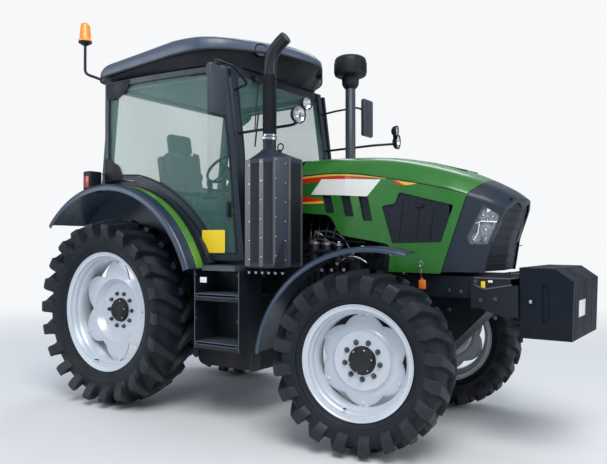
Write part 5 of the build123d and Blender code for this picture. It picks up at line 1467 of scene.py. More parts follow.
class TRACTOR_OT_fenders(bpy.types.Operator):
    """Rolled rear and front fenders with turned lips, beads, black bands, ribs and bolts; their green bands are drawn
    with the cab fittings
    """

    bl_idname = "tractor.fenders"
    bl_label = "Fenders"

    def execute(self, context):
        rear = band(ARCH, fender_section(1048, 797, 1000, 44, 6, 26), 20.2, 136.5, -1, 84)
        rear.add(band(ARCH, [(1054, 580), (1054, 797), (1046, 797), (1046, 588), (585, 588), (585, 580)], 20.2,
                      136.5, -1, 84))
        # The rear fenders wear the lighter, bluer copy of the dark paint: painted sky reflection.
        make("fender_rear_panels", both_sides(rear), "chassis", "fender_paint_sky_lit", ("rear_fenders",), 40)
        bead = band(ARCH, [(1054, 986), (1058, 984), (1059, 979), (1058, 974), (1054, 972)], 20.4, 136.3, -1, 84)
        make("fender_rear_beads", both_sides(bead), "chassis", "fender_paint_sky_lit")
        edge = band(ARCH, [(1053.5, 900), (1057.5, 901), (1057.5, 904), (1053.5, 905)], 20.4, 104, -1, 60)
        edge.add(band(ARCH, [(1053.5, 792), (1062, 794), (1062, 816), (1053.5, 818)], 20.4, 104, -1, 60))
        make("fender_rear_black_bands", both_sides(edge), "chassis", "seal")
        for name, side, turn in (("front_right", -1, 10.0), ("front_left", 1, 10.0)):
            self.front(name, side, turn)
        return {"FINISHED"}

    def front(self, name, side, turn):
        """One front fender, turned with its wheel about the kingpin."""
        sections = fender_section(823, -60, 255, 28, 5, 22)
        guard = band(FRONT_ARCH, sections, 72.5, 173.5, side, 60)
        rib = band(FRONT_ARCH, [(828, 60), (832, 64), (832, 116), (828, 120)], 73, 173, side, 60)
        rib.add(band(FRONT_ARCH, [(828, 236), (831, 238), (831, 243), (828, 245)], 73, 173, side, 60))
        bolts = Shape()
        for angle in (96.0, 104.0, 128.0, 136.0):
            a = math.radians(angle)
            for y in (80, 100):
                bolts.add(bolt((FRONT_ARCH[0] + 832 * math.cos(a), side * y, FRONT_ARCH[1] + 832 * math.sin(a)),
                               (math.cos(a), 0, math.sin(a)), 15, 7))
        matrix, pin = rotation("z", turn), np.array([1.054, side * 0.675, 0.0])

        def carry(points):
            return (points - (REAR_AXLE * 0.001, 0, 0)) @ matrix.T + pin

        body = f"corner_{name.split('_')[1]}"
        # The front fender wears the lighter, bluer copy of the dark paint: painted sky reflection.
        make(f"fender_{name}_panel", guard.moved(carry), body, "fender_paint_sky_lit",
             (f"front_fender_{name.split('_')[1]}",), 40)
        make(f"fender_{name}_rib", rib.moved(carry), body, "fender_paint_sky_lit")
        make(f"fender_{name}_bolts", bolts.moved(carry), body, "bright_steel")


# ---- exhaust and air cleaner
BOX = ((1440, -788), (1440, -622), (1522, -540), (1748, -540), (1830, -622), (1830, -788), (1748, -870), (1522, -870))


def facet_strip(a, b, low, high, out, thick=2.0):
    """Plate lying on the upright face between plan points a and b, given as shares from a to b."""
    (start, end), (s0, s1) = a, b
    start, end = np.array(start, float), np.array(end, float)
    along = end - start
    normal = np.array([-along[1], along[0]]) / np.linalg.norm(along)
    if normal @ (np.array([1635.0, -705.0]) - start) > 0:
        normal = -normal
    p, q = start + along * s0, start + along * s1
    plan = np.array([p - normal * 3, q - normal * 3, q + normal * (out + thick), p + normal * (out + thick)])
    return prism(plan, low, high, "z", 1.0)


class TRACTOR_OT_exhaust(bpy.types.Operator):
    """Exhaust box with bolted strips and louvres, ribbed stack, and the air cleaner beyond"""

    bl_idname = "tractor.exhaust"
    bl_label = "Exhaust and air cleaner"

    def execute(self, context):
        self.box()
        self.stack()
        self.cleaner()
        return {"FINISHED"}

    def box(self):
        """Shell with louvred panels between light strips, base bolts, bracket and lifting ring."""
        corners = np.array(BOX, float)
        shell = capped([
            np.column_stack([rounded(inward(corners, d), 6.0, 3), np.full(24, z)]) for d, z in
            ((14, 1203), (4, 1203), (0, 1209), (0, 1990), (3, 1997), (10, 2001))])
        cone = [np.column_stack([rounded(inward(corners, 9), 6.0, 3), np.full(24, 2000.0)])]
        ring = cone[0][:, :2] - (1635, -705)
        angle = np.arctan2(ring[:, 1], ring[:, 0])
        for share, z in ((0.55, 2036), (0.86, 2058), (1.0, 2074)):
            small = np.stack([1602 + 62 * np.cos(angle), -718 + 62 * np.sin(angle)], -1)
            flat = (1 - share) * cone[0][:, :2] + share * small
            cone.append(np.column_stack([flat, np.full(24, float(z))]))
        shell.add(capped(cone))
        make("exhaust_box_shell", shell, "chassis", "box_steel", ("exhaust_box",), 28)
        face = {"left": ((1440, -788), (1522, -870)), "front": ((1522, -870), (1748, -870)),
                "right": ((1748, -870), (1830, -788)),
                "nose": ((1830, -788), (1830, -622)), "rear": ((1440, -622), (1440, -788))}
        strips = Shape()
        for key, shares in (("front", (-0.12, 0.10)), ("front", (0.46, 0.63)), ("right", (0.02, 0.16)),
                            ("nose", (0.0, 0.12)),
                            ("nose", (0.88, 1.0)), ("rear", (0.0, 0.14)), ("rear", (0.86, 1.0))):
            strips.add(facet_strip(face[key], shares, 1212, 1992, 2.0))
        make("exhaust_box_strips", strips, "chassis", "strip")
        panels = Shape()
        for key, shares in (("front", (0.12, 0.44)), ("front", (0.65, 0.96)), ("left", (0.10, 0.84)),
                            ("nose", (0.16, 0.84)),
                            ("rear", (0.18, 0.82))):
            panels.add(facet_strip(face[key], shares, 1236, 1966, 0.6))
            for z in range(1262, 1950, 22):
                panels.add(facet_strip(face[key], (shares[0] + 0.04, shares[1] - 0.04), z, z + 8, 3.4))
        make("exhaust_box_louvres", panels, "chassis", "louvre")
        screws = Shape()
        for z in np.linspace(1262, 1950, 6):
            screws.add(bolt((1535, -874.5, z), (0, -1, 0), 11, 4, False)).add(bolt((1645, -874.5, z + 20),
                (0, -1, 0), 11, 4, False))
            screws.add(bolt((1766, -856, z + 30), (0.7, -0.7, 0), 11, 5, False)).add(bolt((1814, -808, z),
                (0.7, -0.7, 0), 11, 5, False))
        for x in (1475, 1540, 1600, 1660, 1720, 1785):
            screws.add(bolt((x, -800, 1172), (0, 0, -1), 22, 16))
        make("exhaust_box_screws", screws, "chassis", "bright_steel")
        bracket = prism([(1752, 1203), (1832, 1203), (1832, 1400), (1822, 1400)], -884, -876, "y").moved(
            lambda p: (p - np.array([0.392, -0.876, 0])) @ rotation("z", 45).T + np.array([0.392, -0.876, 0]) + (0,
                0.002, 0))
        ring = tube([(1690 + 26 * math.cos(a), -700, 2092 + 26 * math.sin(a)) for a in np.linspace(-1.2, 4.3, 22)],
                    5.0, 8)
        ring.add(rounded_box((1690, -700, 2058), (8, 8, 16), 4))
        make("exhaust_box_fittings", ring.add(bracket), "chassis", "black_plastic")

    def stack(self):
        """Clamp, finely ribbed sleeve and bent end of the stack."""
        heights = np.arange(2196.0, 2640.0, 5.5)
        radius = 49.5 + 4.2 * (np.arange(len(heights)) % 2)
        sleeve = turned([(heights[0], 47), *zip(heights, radius), (heights[-1], 47)], (1602, -718, 0), (0, 0, 1), 36)
        make("stack_sleeve", sleeve, "chassis", "black_plastic", angle=20)
        clamp = turned([(2148, 49), (2148, 54), (2168, 54), (2168, 49)], (1602, -718, 0), (0, 0, 1), 40, closed=True)
        clamp.add(turned([(2176, 49), (2176, 53), (2188, 53), (2188, 49)], (1602, -718, 0), (0, 0, 1), 40, closed=True))
        clamp.add(rounded_box((1602, -776, 2158), (16, 10, 11), 3))
        make("stack_clamp", clamp, "chassis", "bright_steel")
        route = rounded([(0, 2068), (0, 2690), (22, 2790), (92, 2858), (150, 2893)], 110.0, 8, closed=False)
        path = [(1602 + x, -718, z) for x, z in route]
        skin = tube(path, 49.0, 36)
        make("stack_pipe", skin, "chassis", "black_metal", ("exhaust_stack",), 40)
        bore = tube([(1602 + 148.5, -718, 2892), (1602 + 152.5, -718, 2894.4)], 43.0, 32)
        make("stack_bore", bore, "chassis", "seal")

    def cleaner(self):
        """Grey riser, clamp, and black pre-cleaner bowl with a ribbed band and cap."""
        at = (1600, 470, 0)
        make("cleaner_riser", turned([(1880, 45), (2786, 45), (2796, 40)], at, (0, 0, 1), 36), "chassis",
             "grey_pipe", ("air_cleaner",))
        bowl = rounded([(2760, 46), (2772, 60), (2800, 75), (2858, 78), (2868, 120), (2882, 142), (3012, 142),
                        (3034, 132),
                        (3048, 112), (3062, 40), (3062, 1)], 10.0, 4, closed=False)
        make("cleaner_bowl", turned(bowl, at, (0, 0, 1), 48), "chassis", "black_plastic", ("air_cleaner",))
        fins = Shape()
        for k in range(40):
            a = 2 * np.pi * k / 40
            fins.add(rounded_box((1600 + 142 * math.cos(a), 470 + 142 * math.sin(a), 2946), (5, 2.5, 44), 2, 3,
                                 rotation("z", math.degrees(a))))
        fins.add(turned([(2772, 50), (2772, 53), (2788, 53), (2788, 50)], at, (0, 0, 1), 32, closed=True))
        make("cleaner_fins", fins, "chassis", "black_plastic")


# ---- lamps, mirrors, beacon
class TRACTOR_OT_lamps(bpy.types.Operator):
    """Work lamps, tail lamps, mirrors and the beacon"""

    bl_idname = "tractor.lamps"
    bl_label = "Lamps and mirrors"

    def execute(self, context):
        arms, shells, bowls, panes = Shape(), Shape(), Shape(), Shape()
        for sign in (-1, 1):
            arms.add(tube([(1238, sign * 628, 2250), (1760, sign * 628, 2262), (1900, sign * 738, 2275)], 10.5, 14,
                          60.0))
            arms.add(tube([(1895, sign * 742, 2262), (1895, sign * 742, 2345), (1905, sign * 712, 2372)], 8.5, 12,
                          30.0))
            for centre, r in (((1868, sign * 775, 2300), 66.0), ((1890, sign * 705, 2388), 49.0)):
                forward = (0.97, sign * 0.18, -0.06)
                shells.add(turned([(0, 8), (2, r * 0.45), (14, r * 0.8), (32, r * 0.98), (50, r), (54, r),
                                   (54, r - 5), (30, r - 6),
                                   (10, r * 0.5), (8, 8)], centre, forward, 36))
                bowls.add(turned([(16, 3), (18, r * 0.3), (28, r * 0.66), (44, r - 6.5), (40, r - 6.2),
                                  (12, r * 0.5)], centre,
                                 forward, 32))
                bowls.add(turned([(14, 1), (14, 10), (34, 9), (38, 1)], centre, forward, 14))
                panes.add(turned([(44, 1), (44, r - 6), (50, r - 6), (54, r * 0.5), (55, 1)], centre, forward, 32))
        make("work_lamp_arms", arms, "chassis", "black_plastic", ("lamps",))
        make("work_lamp_shells", shells, "chassis", "black_plastic", ("lamps",))
        make("work_lamp_bowls", bowls, "chassis", "chrome")
        make("work_lamp_panes", panes, "chassis", "lamp_glass")
        self.tails()
        self.mirrors()
        self.beacon()
        return {"FINISHED"}

    def tails(self):
        """Upright tail lamp boxes with red and amber lenses."""
        box = both_sides(rounded_box((-214, -905, 1917), (50, 64, 92), 14))
        red = both_sides(rounded_box((-262, -905, 1870), (6, 54, 36),
                                     5).add(rounded_box((-214, -967, 1917), (30, 3, 50), 3)))
        amber = both_sides(rounded_box((-262, -905, 1955), (6, 54, 40), 5))
        make("tail_lamp_boxes", box, "chassis", "black_plastic", ("lamps",))
        make("tail_lamp_red", red, "chassis", "red_lens")
        make("tail_lamp_amber", amber, "chassis", "amber")

    def mirrors(self):
        """Rounded mirror heads with silvered faces towards the driver, on bent arms."""
        arms, heads, faces = Shape(), Shape(), Shape()
        for sign, z in ((-1, 2475.0), (1, 2615.0)):
            arms.add(tube([(1189.8, sign * 628, 2600), (1330, sign * 645, 2620), (1410, sign * 900, 2690),
                           (1420, sign * 1100, 2690), (1420, sign * 1100, 2600)], 9.5, 12, 40.0))
            heads.add(rounded_box((1420, sign * 1100, z), (22, 94, 184), 20, 6))
            heads.add(rounded_box((1432, sign * 1100, z), (12, 74, 160), 12, 4))
            faces.add(rounded_box((1398.5, sign * 1100, z), (2.0, 82, 170), 2, 3))
            arms.add(rounded_box((1424, sign * 1100, 2675), (18, 22, 22), 8))
        make("mirror_arms", arms, "chassis", "black_plastic", ("mirrors",))
        make("mirror_heads", heads, "chassis", "mirror_shell", ("mirrors",), 40)
        make("mirror_faces", faces, "chassis", "chrome")

    def beacon(self):
        """Bent post, black socket and ribbed amber dome."""
        post = tube([(-227, -770, 2850), (-262, -770, 2852), (-385, -860, 2908), (-385, -860, 3186)], 12.5, 14, 40.0)
        post.add(turned([(-28, 14), (-24, 30), (-10, 40), (-6, 58), (12, 58), (14, 50)], (-385, -860, 3190),
                        (0, 0, 1), 32))
        make("beacon_post", post, "chassis", "black_plastic", ("beacon",))
        t = around(96)
        rows = rounded([(6, 59), (22, 59), (25, 50), (90, 46), (150, 40), (168, 34), (175, 20), (176, 1)], 7.0, 4,
                       closed=False)
        wave = 1 + 0.018 * np.cos(24 * t)
        grid = np.stack(np.broadcast_arrays(
            -385 + rows[:, 1][:, None] * np.cos(t) * wave, -860 + rows[:, 1][:, None] * np.sin(t) * wave,
            3190 + rows[:, 0][:, None]), -1)
        make("beacon_dome", capped(grid), "chassis", "amber", ("beacon",), 50)


# ---- steps, engine, front and rear fittings
WEIGHT = ((3337.3, 779), (3655, 779), (3668, 1149), (3560, 1225), (3337.3, 1227))


class TRACTOR_OT_steps(bpy.types.Operator):
    """Step nosings, grip ridges, labels, tank cap and straps"""

    bl_idname = "tractor.steps"
    bl_label = "Steps and tank"

    def execute(self, context):
        nosing, grips, labels = Shape(), Shape(), Shape()
        for z in (628.0, 996.0):
            nosing.add(rounded_box((1212, -872, z - 4), (224, 3, 4), 2)).add(rounded_box((1212, -872, z - 25),
                (224, 3, 3), 2))
            for y in range(-850, -620, 28):
                grips.add(rounded_box((1212, y, z + 1.5), (206, 4, 3.5), 2))
            for x in (1010, 1414):
                grips.add(bolt((x, -874, z - 12), (0, -1, 0), 15, 6))
        nosing.add(rounded_box((1238, -880, 1206), (162, 3, 4), 2))
        for x in (990, 1435):
            nosing.add(rounded_box((x, -872, 870), (3.5, 3, 300), 2))
        for y in range(-862, -700, 28):
            grips.add(rounded_box((1238, y, 1211.5), (154, 4, 3), 2))
        for x, z in ((1000, 1140), (1425, 1140), (1000, 800), (1425, 800)):
            grips.add(bolt((x, -872, z), (0, -1, 0), 15, 6))
        # The nosings wear the roof's lighter, bluer copy of the dark paint, with its painted sky reflection.
        make("step_nosings", both_sides(nosing), "chassis", "roof_paint_sky_lit")
        make("step_grips", both_sides(grips), "chassis", "box_steel")
        labels.add(rounded_box((1082, -874.5, 1100), (34, 1.2, 21), 1))
        make("step_label", labels, "chassis", "plate_white")
        tank = Shape()
        for x in (860.0, 1320.0):
            tank.add(prism([(-196, 381), (-597, 381), (-597, 989), (-196, 989)], x, x + 34, "x", 2.0))
        make("tank_straps", tank, "chassis", "chassis_paint")
        cap = turned([(0, 62), (14, 62), (18, 50), (40, 50), (46, 44), (48, 1)], (1090, -470, 984), (0, 0, 1), 32)
        for k in range(12):
            a = math.radians(30 * k)
            cap.add(rounded_box((1090 + 50 * math.cos(a), -470 + 50 * math.sin(a), 1010), (5, 4, 14), 3))
        make("tank_cap", cap, "chassis", "black_plastic")
        return {"FINISHED"}


class TRACTOR_OT_engine(bpy.types.Operator):
    """Rocker cover, filters, alternator, hoses, pipes and unions of the engine"""

    bl_idname = "tractor.engine"
    bl_label = "Engine fittings"

    def execute(self, context):
        iron, bright, black, brass = Shape(), Shape(), Shape(), Shape()
        iron.add(rounded_box((1820, 0, 1545), (270, 120, 60), 26))
        for x in range(1580, 2080, 60):
            iron.add(rounded_box((x, 0, 1606), (8, 104, 8), 4)).add(rounded_box((x, -186, 1120), (12, 14, 240), 6))
        iron.add(rounded_box((1800, -215, 1360), (230, 40, 38), 22)).add(rounded_box((1990, -250, 1290),
            (60, 52, 60), 20))
        iron.add(rounded_box((2080, -235, 1180), (46, 50, 90), 16)).add(rounded_box((1720, -260, 1190), (70, 40, 34),
            14))
        iron.add(turned([(-62, 30), (-56, 66), (-10, 70), (46, 70), (52, 60), (56, 28)], (2190, -232, 1330),
                        (1, 0, 0), 28))
        iron.add(turned([(0, 20), (2, 36), (12, 30), (22, 36), (24, 20)], (2250, -232, 1330), (1, 0, 0), 28))
        iron.add(turned([(0, 30), (3, 120), (16, 112), (29, 120), (32, 30)], (2262, 0, 1130), (1, 0, 0), 36))
        for x, y, z, r, tall in ((1745, -318, 1218, 42, 150), (1858, -322, 1226, 38, 136), (1970, -330, 1236, 34, 120)):
            black.add(turned([(0, 8), (4, r - 4), (10, r), (tall, r), (tall + 6, r - 3), (tall + 8, 10)], (x, y, z),
                             (0, 0, 1), 28))
            bright.add(turned([(tall + 6, 1), (tall + 6, r + 3), (tall + 22, r + 3), (tall + 26, r - 8),
                               (tall + 27, 1)], (x, y, z),
                              (0, 0, 1), 24))
            bright.add(bolt((x, y, z + tall + 26), (0, 0, 1), 22, 14))
        for route, r in ((((1600, 440, 1900), (1612, 380, 1760), (1640, 250, 1640), (1720, 120, 1600)), 42),
                         (((2260, -120, 1560), (2380, -150, 1600), (2500, -170, 1590), (2560, -170, 1560)), 26),
                         (((2230, -190, 980), (2380, -230, 1060), (2480, -230, 1150), (2560, -200, 1215)), 24),
                         (((1690, -352, 1290), (1820, -360, 1330), (1960, -352, 1310), (2120, -345, 1250)), 11),
                         (((1700, -340, 1420), (1860, -346, 1440), (2010, -340, 1400), (2200, -320, 1390)), 9)):
            black.add(tube(route, r, 14, 90.0))
        for route in (((1700, -300, 1395), (1780, -336, 1425), (1880, -336, 1390), (1990, -336, 1370)),
                      ((1730, -276, 1470), (1850, -300, 1480), (1980, -300, 1440), (2070, -290, 1300)),
                      ((1960, -336, 1230), (2060, -340, 1290), (2150, -310, 1270), (2230, -300, 1210)),
                      ((1745, -318, 1400), (1745, -344, 1445), (1800, -350, 1470), (1858, -322, 1400))):
            bright.add(tube(route, 6.0, 10, 50.0))
            for end in (route[0], route[-1]):
                brass.add(bolt((end[0], end[1] - 6, end[2]), (0, -1, 0), 20, 12))
        for x, z in ((1712, 1180), (1790, 1172), (1880, 1176), (1990, 1180), (2096, 1160), (2200, 1172),
                     (2040, 1330), (1930, 1490)):
            bright.add(bolt((x, -292 if z < 1200 else -304, z), (0, -1, 0), 19, 12))
        for k in range(6):
            bright.add(tube([(1620 + 84 * k, -132, 1560), (1620 + 84 * k, -190, 1550), (1640 + 70 * k, -222, 1430)],
                            4.0, 8, 26.0))
        make("engine_iron", iron, "chassis", "castings")
        make("engine_black", black, "chassis", "black_plastic")
        make("engine_bright", bright, "chassis", "bright_steel")
        make("engine_brass", brass, "chassis", "brass")
        return {"FINISHED"}


class TRACTOR_OT_front(bpy.types.Operator):
    """Front weights, their hanger, ledge, blank marks, tag and bolts"""

    bl_idname = "tractor.front"
    bl_label = "Front weights"

    def execute(self, context):
        plates = Shape()
        outline = np.array(WEIGHT, float)
        pitch = 741.0 / 12
        for k in range(12):
            left = -372.0 + k * pitch
            if k in (0, 11):
                continue
            plates.add(prism(outline, left + 0.5, left + pitch - 1.5, "y", 5.0))
        make("weight_plates", plates, "chassis", "weight_paint", ("front_weights",))
        for k, sign, name in ((0, -1, "right"), (11, 1, "left")):
            left = -372.0 + k * pitch
            outer = make(f"weight_{name}", prism(outline, left + 0.5, left + pitch - 1.5, "y", 5.0), "chassis",
                         "weight_paint",
                         ("front_weights",))
            y = left if sign < 0 else left + pitch - 1.5
            slot = rounded([(3478, 884), (3524, 884), (3524, 1124), (3478, 1124)], 20.0)
            cut(outer, prism(slot, y - 14, y + 14, "y"))
        y = -371.5
        boss = both_sides(turned([(-2, 30), (5, 28), (7, 20)], (3409, y, 1013), (0, -1, 0), 28))
        make("weight_bosses", boss, "chassis", "weight_paint")
        pin = both_sides(turned([(4, 13), (14, 12), (20, 6), (21, 1)], (3409, y, 1013), (0, -1, 0), 20))
        make("weight_pins", pin, "chassis", "bright_steel")
        make("weight_label", rounded_box((3663.4, -128, 970), (2.2, 84, 52), 1, turn=rotation("y", 2)), "chassis",
             "plate_white")
        self.hanger()
        self.tag()
        return {"FINISHED"}

    def hanger(self):
        """Stacked hanger plates, the bright ledge under the nose, bracket sides with bolts and blank marks."""
        stack, ledge, marks, bolts = Shape(), Shape(), Shape(), Shape()
        for z in range(830, 1150, 40):
            stack.add(rounded_box((3296, 0, z), (40, 230 if z % 80 else 205, 7), 4))
        for y in (-205.0, 205.0):
            stack.add(rounded_box((3286, y, 990), (46, 12, 190), 5))
        ledge.add(prism([(3050, -398), (3290, -398), (3336, -300), (3336, 300), (3290, 398), (3050, 398)], 1150,
                        1159, "z", 2.0))
        ledge.add(both_sides(prism([(3050, 1108), (3120, 1078), (3300, 1112), (3300, 1120), (3120, 1087),
                                    (3050, 1117)], -401, -396)))
        for x, z in ((3190, 1021), (3092, 1010), (3190, 900), (3060, 1130)):
            bolts.add(both_sides(bolt((x, -395, z), (0, -1, 0), 19, 9)))
        for x, z in ((2470, 1050), (2560, 1040), (2860, 1062), (2960, 1060), (2350, 1080), (2860, 930)):
            bolts.add(both_sides(bolt((x, -395 if x > 2900 else -352, z), (0, -1, 0), 17, 8)))
        marks.add(rounded_box((3112, -397.5, 1112), (14, 1.5, 21), 1))
        make("front_hanger", stack, "chassis", "box_steel")
        make("front_ledge", ledge, "chassis", "strip")
        make("front_bolts", bolts, "chassis", "dark_steel")
        make("front_mark_yellow", marks, "chassis", "sign_yellow")
        make("front_mark_white", rounded_box((3160, -397.5, 1134), (15, 1.5, 8), 1), "chassis", "plate_white")

    def tag(self):
        """Ring, chain and orange tag hung by the side of the frame."""
        chain = Shape()
        for k, z in enumerate((1238, 1216, 1186)):
            r = 15.0 if k in (0, 1) else 8.0
            turn = np.linspace(0, 2 * np.pi, 15)
            route = [(2679 + (r * math.cos(a) if k % 2 == 0 else 0), -411 + (r * math.cos(a) if k % 2 else 0),
                      z + r * math.sin(a) * 1.2)
                     for a in turn]
            chain.add(tube(route, 2.4, 8))
        chain.add(tube([(2679, -404, 1262), (2679, -415, 1252), (2679, -411, 1236)], 3.0, 8))
        chain.add(tube([(2679, -411, 1200), (2679, -406, 1168), (2676, -384, 1136)], 3.0, 8))
        make("tag_chain", chain, "chassis", "bright_steel")
        make("tag_block", rounded_box((2676, -382, 1097), (26, 6, 32),
                                      6).add(rounded_box((2674, -382, 1132), (9, 5, 8), 3)),
             "chassis", "tag_orange")


class TRACTOR_OT_rear(bpy.types.Operator):
    """Power shaft, couplers, link ends, pins and axle bolts at the rear and under the tractor"""

    bl_idname = "tractor.rear"
    bl_label = "Rear fittings"

    def execute(self, context):
        shaft, dark, bright = Shape(), Shape(), Shape()
        t = around(72)
        tooth = 17.5 - 1.8 * (np.cos(6 * t) > 0.2)
        shaft.sheet(metres([np.stack([np.full(72, float(x)), r * np.cos(t), 700 + r * np.sin(t)], -1) for x, r in
                            ((-358, tooth), (-446, tooth), (-452, tooth * 0.85))]), wrap_v=True, caps=True)
        make("power_shaft", shaft, "chassis", "bright_steel")
        guard = rounded([(-110, 660), (-110, 800), (110, 800), (110, 660)], 40.0, 6, closed=False)
        inner = rounded([(104, 660), (104, 794), (-104, 794), (-104, 660)], 36.0, 6, closed=False)
        dark.add(prism(np.concatenate([guard, inner]), -462, -358, "x", 1.5))
        dark.add(both_sides(rounded_box((-372, -165, 1060), (22, 75, 56), 12)))
        for y in (-200, -130, 130, 200):
            bright.add(turned([(0, 22), (30, 22), (34, 18), (48, 18), (50, 8)], (-390, y, 1060), (-1, 0, 0), 20))
            dark.add(turned([(50, 19), (58, 19), (62, 12), (63, 1)], (-390, y, 1060), (-1, 0, 0), 20))
            dark.add(tube([(-372, y, 1110), (-352, y * 0.9, 1140), (-300, y * 0.8, 1150), (-200, y * 0.7, 1130)],
                          9.0, 10, 40.0))
        for y in (-160, -60, 60, 160):
            for z in (560, 920):
                bright.add(bolt((-361, y, z), (-1, 0, 0), 24, 14))
        make("rear_dark", dark, "chassis", "castings")
        make("rear_bright", bright, "chassis", "bright_steel")
        links, pins = Shape(), Shape()
        for y in (-420, 420):
            links.add(turned([(-26, 22), (-20, 34), (20, 34), (26, 22)], (-915, y, 520), (0, 1, 0), 24))
            pins.add(turned([(-30, 1), (-30, 14), (30, 14), (30, 1)], (-915, y, 520), (0, 1, 0), 20))
        make("link_eyes", links, "lower_links", "castings")
        make("link_balls", pins, "lower_links", "bright_steel")
        return {"FINISHED"}


class TRACTOR_OT_wheel(bpy.types.Operator):
    """Padded steering wheel with three spokes and a hub cap"""

    bl_idname = "tractor.wheel"
    bl_label = "Steering wheel"

    def execute(self, context):
        axis = np.array([math.sin(math.radians(40)), 0.0, -math.cos(math.radians(40))])
        u, v, _ = frame_about(axis)
        centre = np.array([520.0, 0.0, 2070.0])
        ring, spokes = Shape(), Shape()
        t = around(72)[:, None, None]
        s = around(14)[None, :, None]
        radial = np.cos(t) * u + np.sin(t) * v
        wave = 1 + 0.05 * np.cos(36 * t) * (np.cos(s) < 0)
        grid = centre + radial * (176.5 + 13.0 * wave * np.cos(s)) + axis * 13.0 * wave * np.sin(s)
        ring.sheet(metres(grid), wrap_u=True, wrap_v=True)
        make("steering_wheel_rim", ring, "steering_wheel", "black_plastic", ("steering_wheel",), 60)
        for k in range(3):
            a = 2 * np.pi * k / 3 + 0.5
            out = math.cos(a) * u + math.sin(a) * v
            spokes.add(tube([centre + out * 30 + axis * 22, centre + out * 90 + axis * 18, centre + out * 172], 9.0,
                            12, 30.0))
        spokes.add(turned([(-6, 1), (-4, 30), (4, 44), (26, 46), (40, 34), (42, 12)], centre, axis, 32))
        make("steering_wheel_hub", spokes, "steering_wheel", "black_plastic", ("steering_wheel",), 60)
        return {"FINISHED"}


SOLID_LOOKS = {
    "side_grilles": "perforated", "door_frame_right": "dark_panel", "door_frame_left": "dark_panel",
    "steering_column": "cab_trim", "cab_floor": "cab_trim", "fuel_tank": "black_plastic",
}


# ---- stage
def world_light():
    """Soft even surround, paler where the camera or glass sees it."""
    world = bpy.data.worlds.new("surround")
    bpy.context.scene.world = world
    tree = Tree(world)
    path = tree.node("ShaderNodeLightPath", output="Is Camera Ray")
    seen = path.math("MAXIMUM", path.part("Is Transmission Ray"))
    light = tree.node("ShaderNodeBackground", None, {"Color": (0.80, 0.87, 1.0, 1), "Strength": 0.5})
    plain = tree.node("ShaderNodeBackground", None, {"Color": (0.93, 0.94, 0.95, 1), "Strength": 1.0})
    mixed = tree.node("ShaderNodeMixShader", None, {0: seen, 1: light, 2: plain})
    made = tree.nodes.new("ShaderNodeOutputWorld")
    tree.links.new(mixed.socket, made.inputs["Surface"])


def area(name, place, aim, size, power, colour=(1, 1, 1)):
    """Soft rectangular lamp aimed at a point."""
    lamp = bpy.data.lights.new(name, "AREA")
    lamp.shape, lamp.size, lamp.size_y, lamp.energy, lamp.color = "RECTANGLE", size[0], size[1], power, colour
    thing = bpy.data.objects.new(name, lamp)
    bpy.context.scene.collection.objects.link(thing)
    away = np.array(place) - np.array(aim)
    thing.location = place
    thing.rotation_euler = (
        math.atan2(math.hypot(away[0], away[1]), away[2]), 0, math.atan2(away[0], -away[1]))
    return thing


def floor_paint():
    """Pale matt floor that blends into the backdrop's colour with distance, for the camera alone."""
    material = bpy.data.materials.new("floor_paint")
    tree = Tree(material)
    paint = tree.node("ShaderNodeBsdfPrincipled", None, {
        "Base Color": tree.mix(tree.noise(0.6, 3.0), (0.74, 0.75, 0.77), (0.79, 0.80, 0.81)),
        "Roughness": tree.noise(2.0, 3.0).ramp(0.2, 0.8, 0.62, 0.78),
        "Normal": tree.bump(tree.noise(40.0, 3.0), 0.05, 0.001)})
    far = tree.node("ShaderNodeVectorMath", {"operation": "LENGTH"}, {0: tree.place()}, "Value").ramp(3.2, 11.0)
    seen = tree.node("ShaderNodeLightPath", output="Is Camera Ray")
    plain = tree.node("ShaderNodeEmission", None, {"Color": (0.93, 0.94, 0.95, 1), "Strength": 1.0})
    tree.output(tree.node("ShaderNodeMixShader", None, {0: far * seen, 1: paint, 2: plain}))
    return material


class TRACTOR_OT_stage(bpy.types.Operator):
    """Pale floor, soft lights and the camera"""

    bl_idname = "tractor.stage"
    bl_label = "Stage"

    def execute(self, context):
        t = around(96)
        rings = [np.stack([r * np.cos(t), r * np.sin(t), np.full(96, -0.002)], -1) for r in (0.5, 4, 12, 40, 130)]
        mesh = bpy.data.meshes.new("floor")
        floor_shape = Shape().sheet(rings, wrap_v=True)
        mesh.from_pydata(np.concatenate(floor_shape.points).tolist(), [], floor_shape.faces + [list(range(96))])
        finish_mesh(mesh)
        if mesh.polygons[0].normal.z < 0:
            mesh.flip_normals()
        floor = bpy.data.objects.new("floor", mesh)
        context.scene.collection.objects.link(floor)
        mesh.materials.append(floor_paint())
        world_light()
        target = (0.1, -0.3, 1.2)
        area("key", (5.0, -6.0, 9.5), target, (6, 6), 960, (1.0, 0.99, 0.97))
        area("fill", (-7.0, -8.0, 4.5), target, (6, 4), 220, (0.90, 0.95, 1.0))
        area("rear", (-3.0, 7.0, 10.0), target, (8, 5), 330, (0.90, 0.95, 1.0))
        area("front", (9.5, 1.5, 3.5), target, (4, 4), 160, (1.0, 1.0, 1.0))
        camera = bpy.data.objects.new("camera", bpy.data.cameras.new("camera"))
        context.scene.collection.objects.link(camera)
        camera.data.lens, camera.data.sensor_width = 38.97, 36.0
        camera.data.clip_end = 400.0
        camera.location = (3.226, -4.597, 1.387)
        camera.rotation_euler = (math.radians(90.0 + 0.91), 0, math.radians(34.61))
        context.scene.camera = camera
        context.scene.view_settings.view_transform = "Standard"
        return {"FINISHED"}


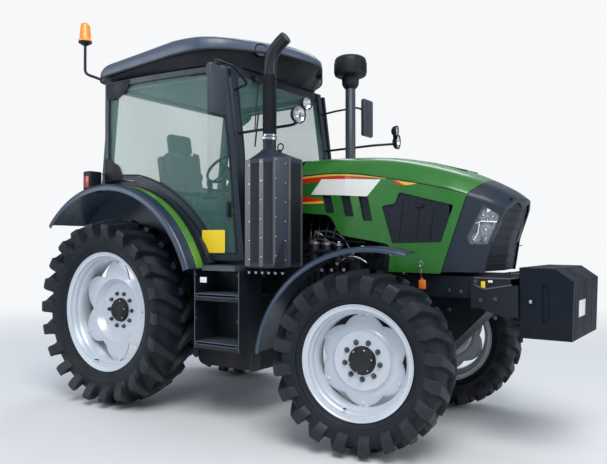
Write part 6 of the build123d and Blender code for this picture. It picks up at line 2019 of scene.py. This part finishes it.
# ---- carried-over solids
class TRACTOR_OT_solids(bpy.types.Operator):
    """Materials for the solids that stay in view"""

    bl_idname = "tractor.solids"
    bl_label = "Solids"

    def execute(self, context):
        record = TRACTOR["frame"]["record"]
        slots = {item["node"]: item["material_slot"] for item in record["subparts"]}
        for node, thing in TRACTOR["frame"]["nodes"].items():
            material, _ = TRACTOR["materials"][SOLID_LOOKS.get(node, slots[node])]
            thing.data.materials.clear()
            thing.data.materials.append(material)
            thing.data.polygons.foreach_set("material_index", np.zeros(len(thing.data.polygons), np.int32))
        return {"FINISHED"}


class TRACTOR_PT_panel(bpy.types.Panel):
    """Sidebar panel with every step of the dressing"""

    bl_idname = "TRACTOR_PT_panel"
    bl_label = "Farm tractor"
    bl_space_type = "VIEW_3D"
    bl_region_type = "UI"
    bl_category = "Tractor"

    def draw(self, context):
        column = self.layout.column()
        for owner in (context.scene.tractor_colours, context.scene.tractor_sizes):
            for name in owner.__annotations__:
                column.prop(owner, name)
        for operator in OPERATORS:
            column.operator(operator.bl_idname)


SETTINGS = (TractorColours, TractorSizes)
OPERATORS = (
    TRACTOR_OT_tyres,
    TRACTOR_OT_rims,
    TRACTOR_OT_hood,
    TRACTOR_OT_nose,
    TRACTOR_OT_grilles,
    TRACTOR_OT_roof,
    TRACTOR_OT_cab,
    TRACTOR_OT_seat,
    TRACTOR_OT_fenders,
    TRACTOR_OT_exhaust,
    TRACTOR_OT_lamps,
    TRACTOR_OT_steps,
    TRACTOR_OT_engine,
    TRACTOR_OT_front,
    TRACTOR_OT_rear,
    TRACTOR_OT_wheel,
    TRACTOR_OT_solids,
    TRACTOR_OT_stage,
)


def register():
    for kind in SETTINGS + OPERATORS + (TRACTOR_PT_panel,):
        bpy.utils.register_class(kind)
    bpy.types.Scene.tractor_colours = bpy.props.PointerProperty(type=TractorColours)
    bpy.types.Scene.tractor_sizes = bpy.props.PointerProperty(type=TractorSizes)


def unregister():
    del bpy.types.Scene.tractor_colours
    del bpy.types.Scene.tractor_sizes
    for kind in reversed(SETTINGS + OPERATORS + (TRACTOR_PT_panel,)):
        bpy.utils.unregister_class(kind)


def main():
    register()
    TRACTOR["frame"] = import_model()
    TRACTOR["materials"] = {}
    build_materials(bpy.context.scene.tractor_colours)
    for operator in OPERATORS:
        group, name = operator.bl_idname.split(".")
        if getattr(getattr(bpy.ops, group), name)() != {"FINISHED"}:
            raise RuntimeError(f"{operator.bl_label} didn't finish")


if __name__ == "__main__":
    main()
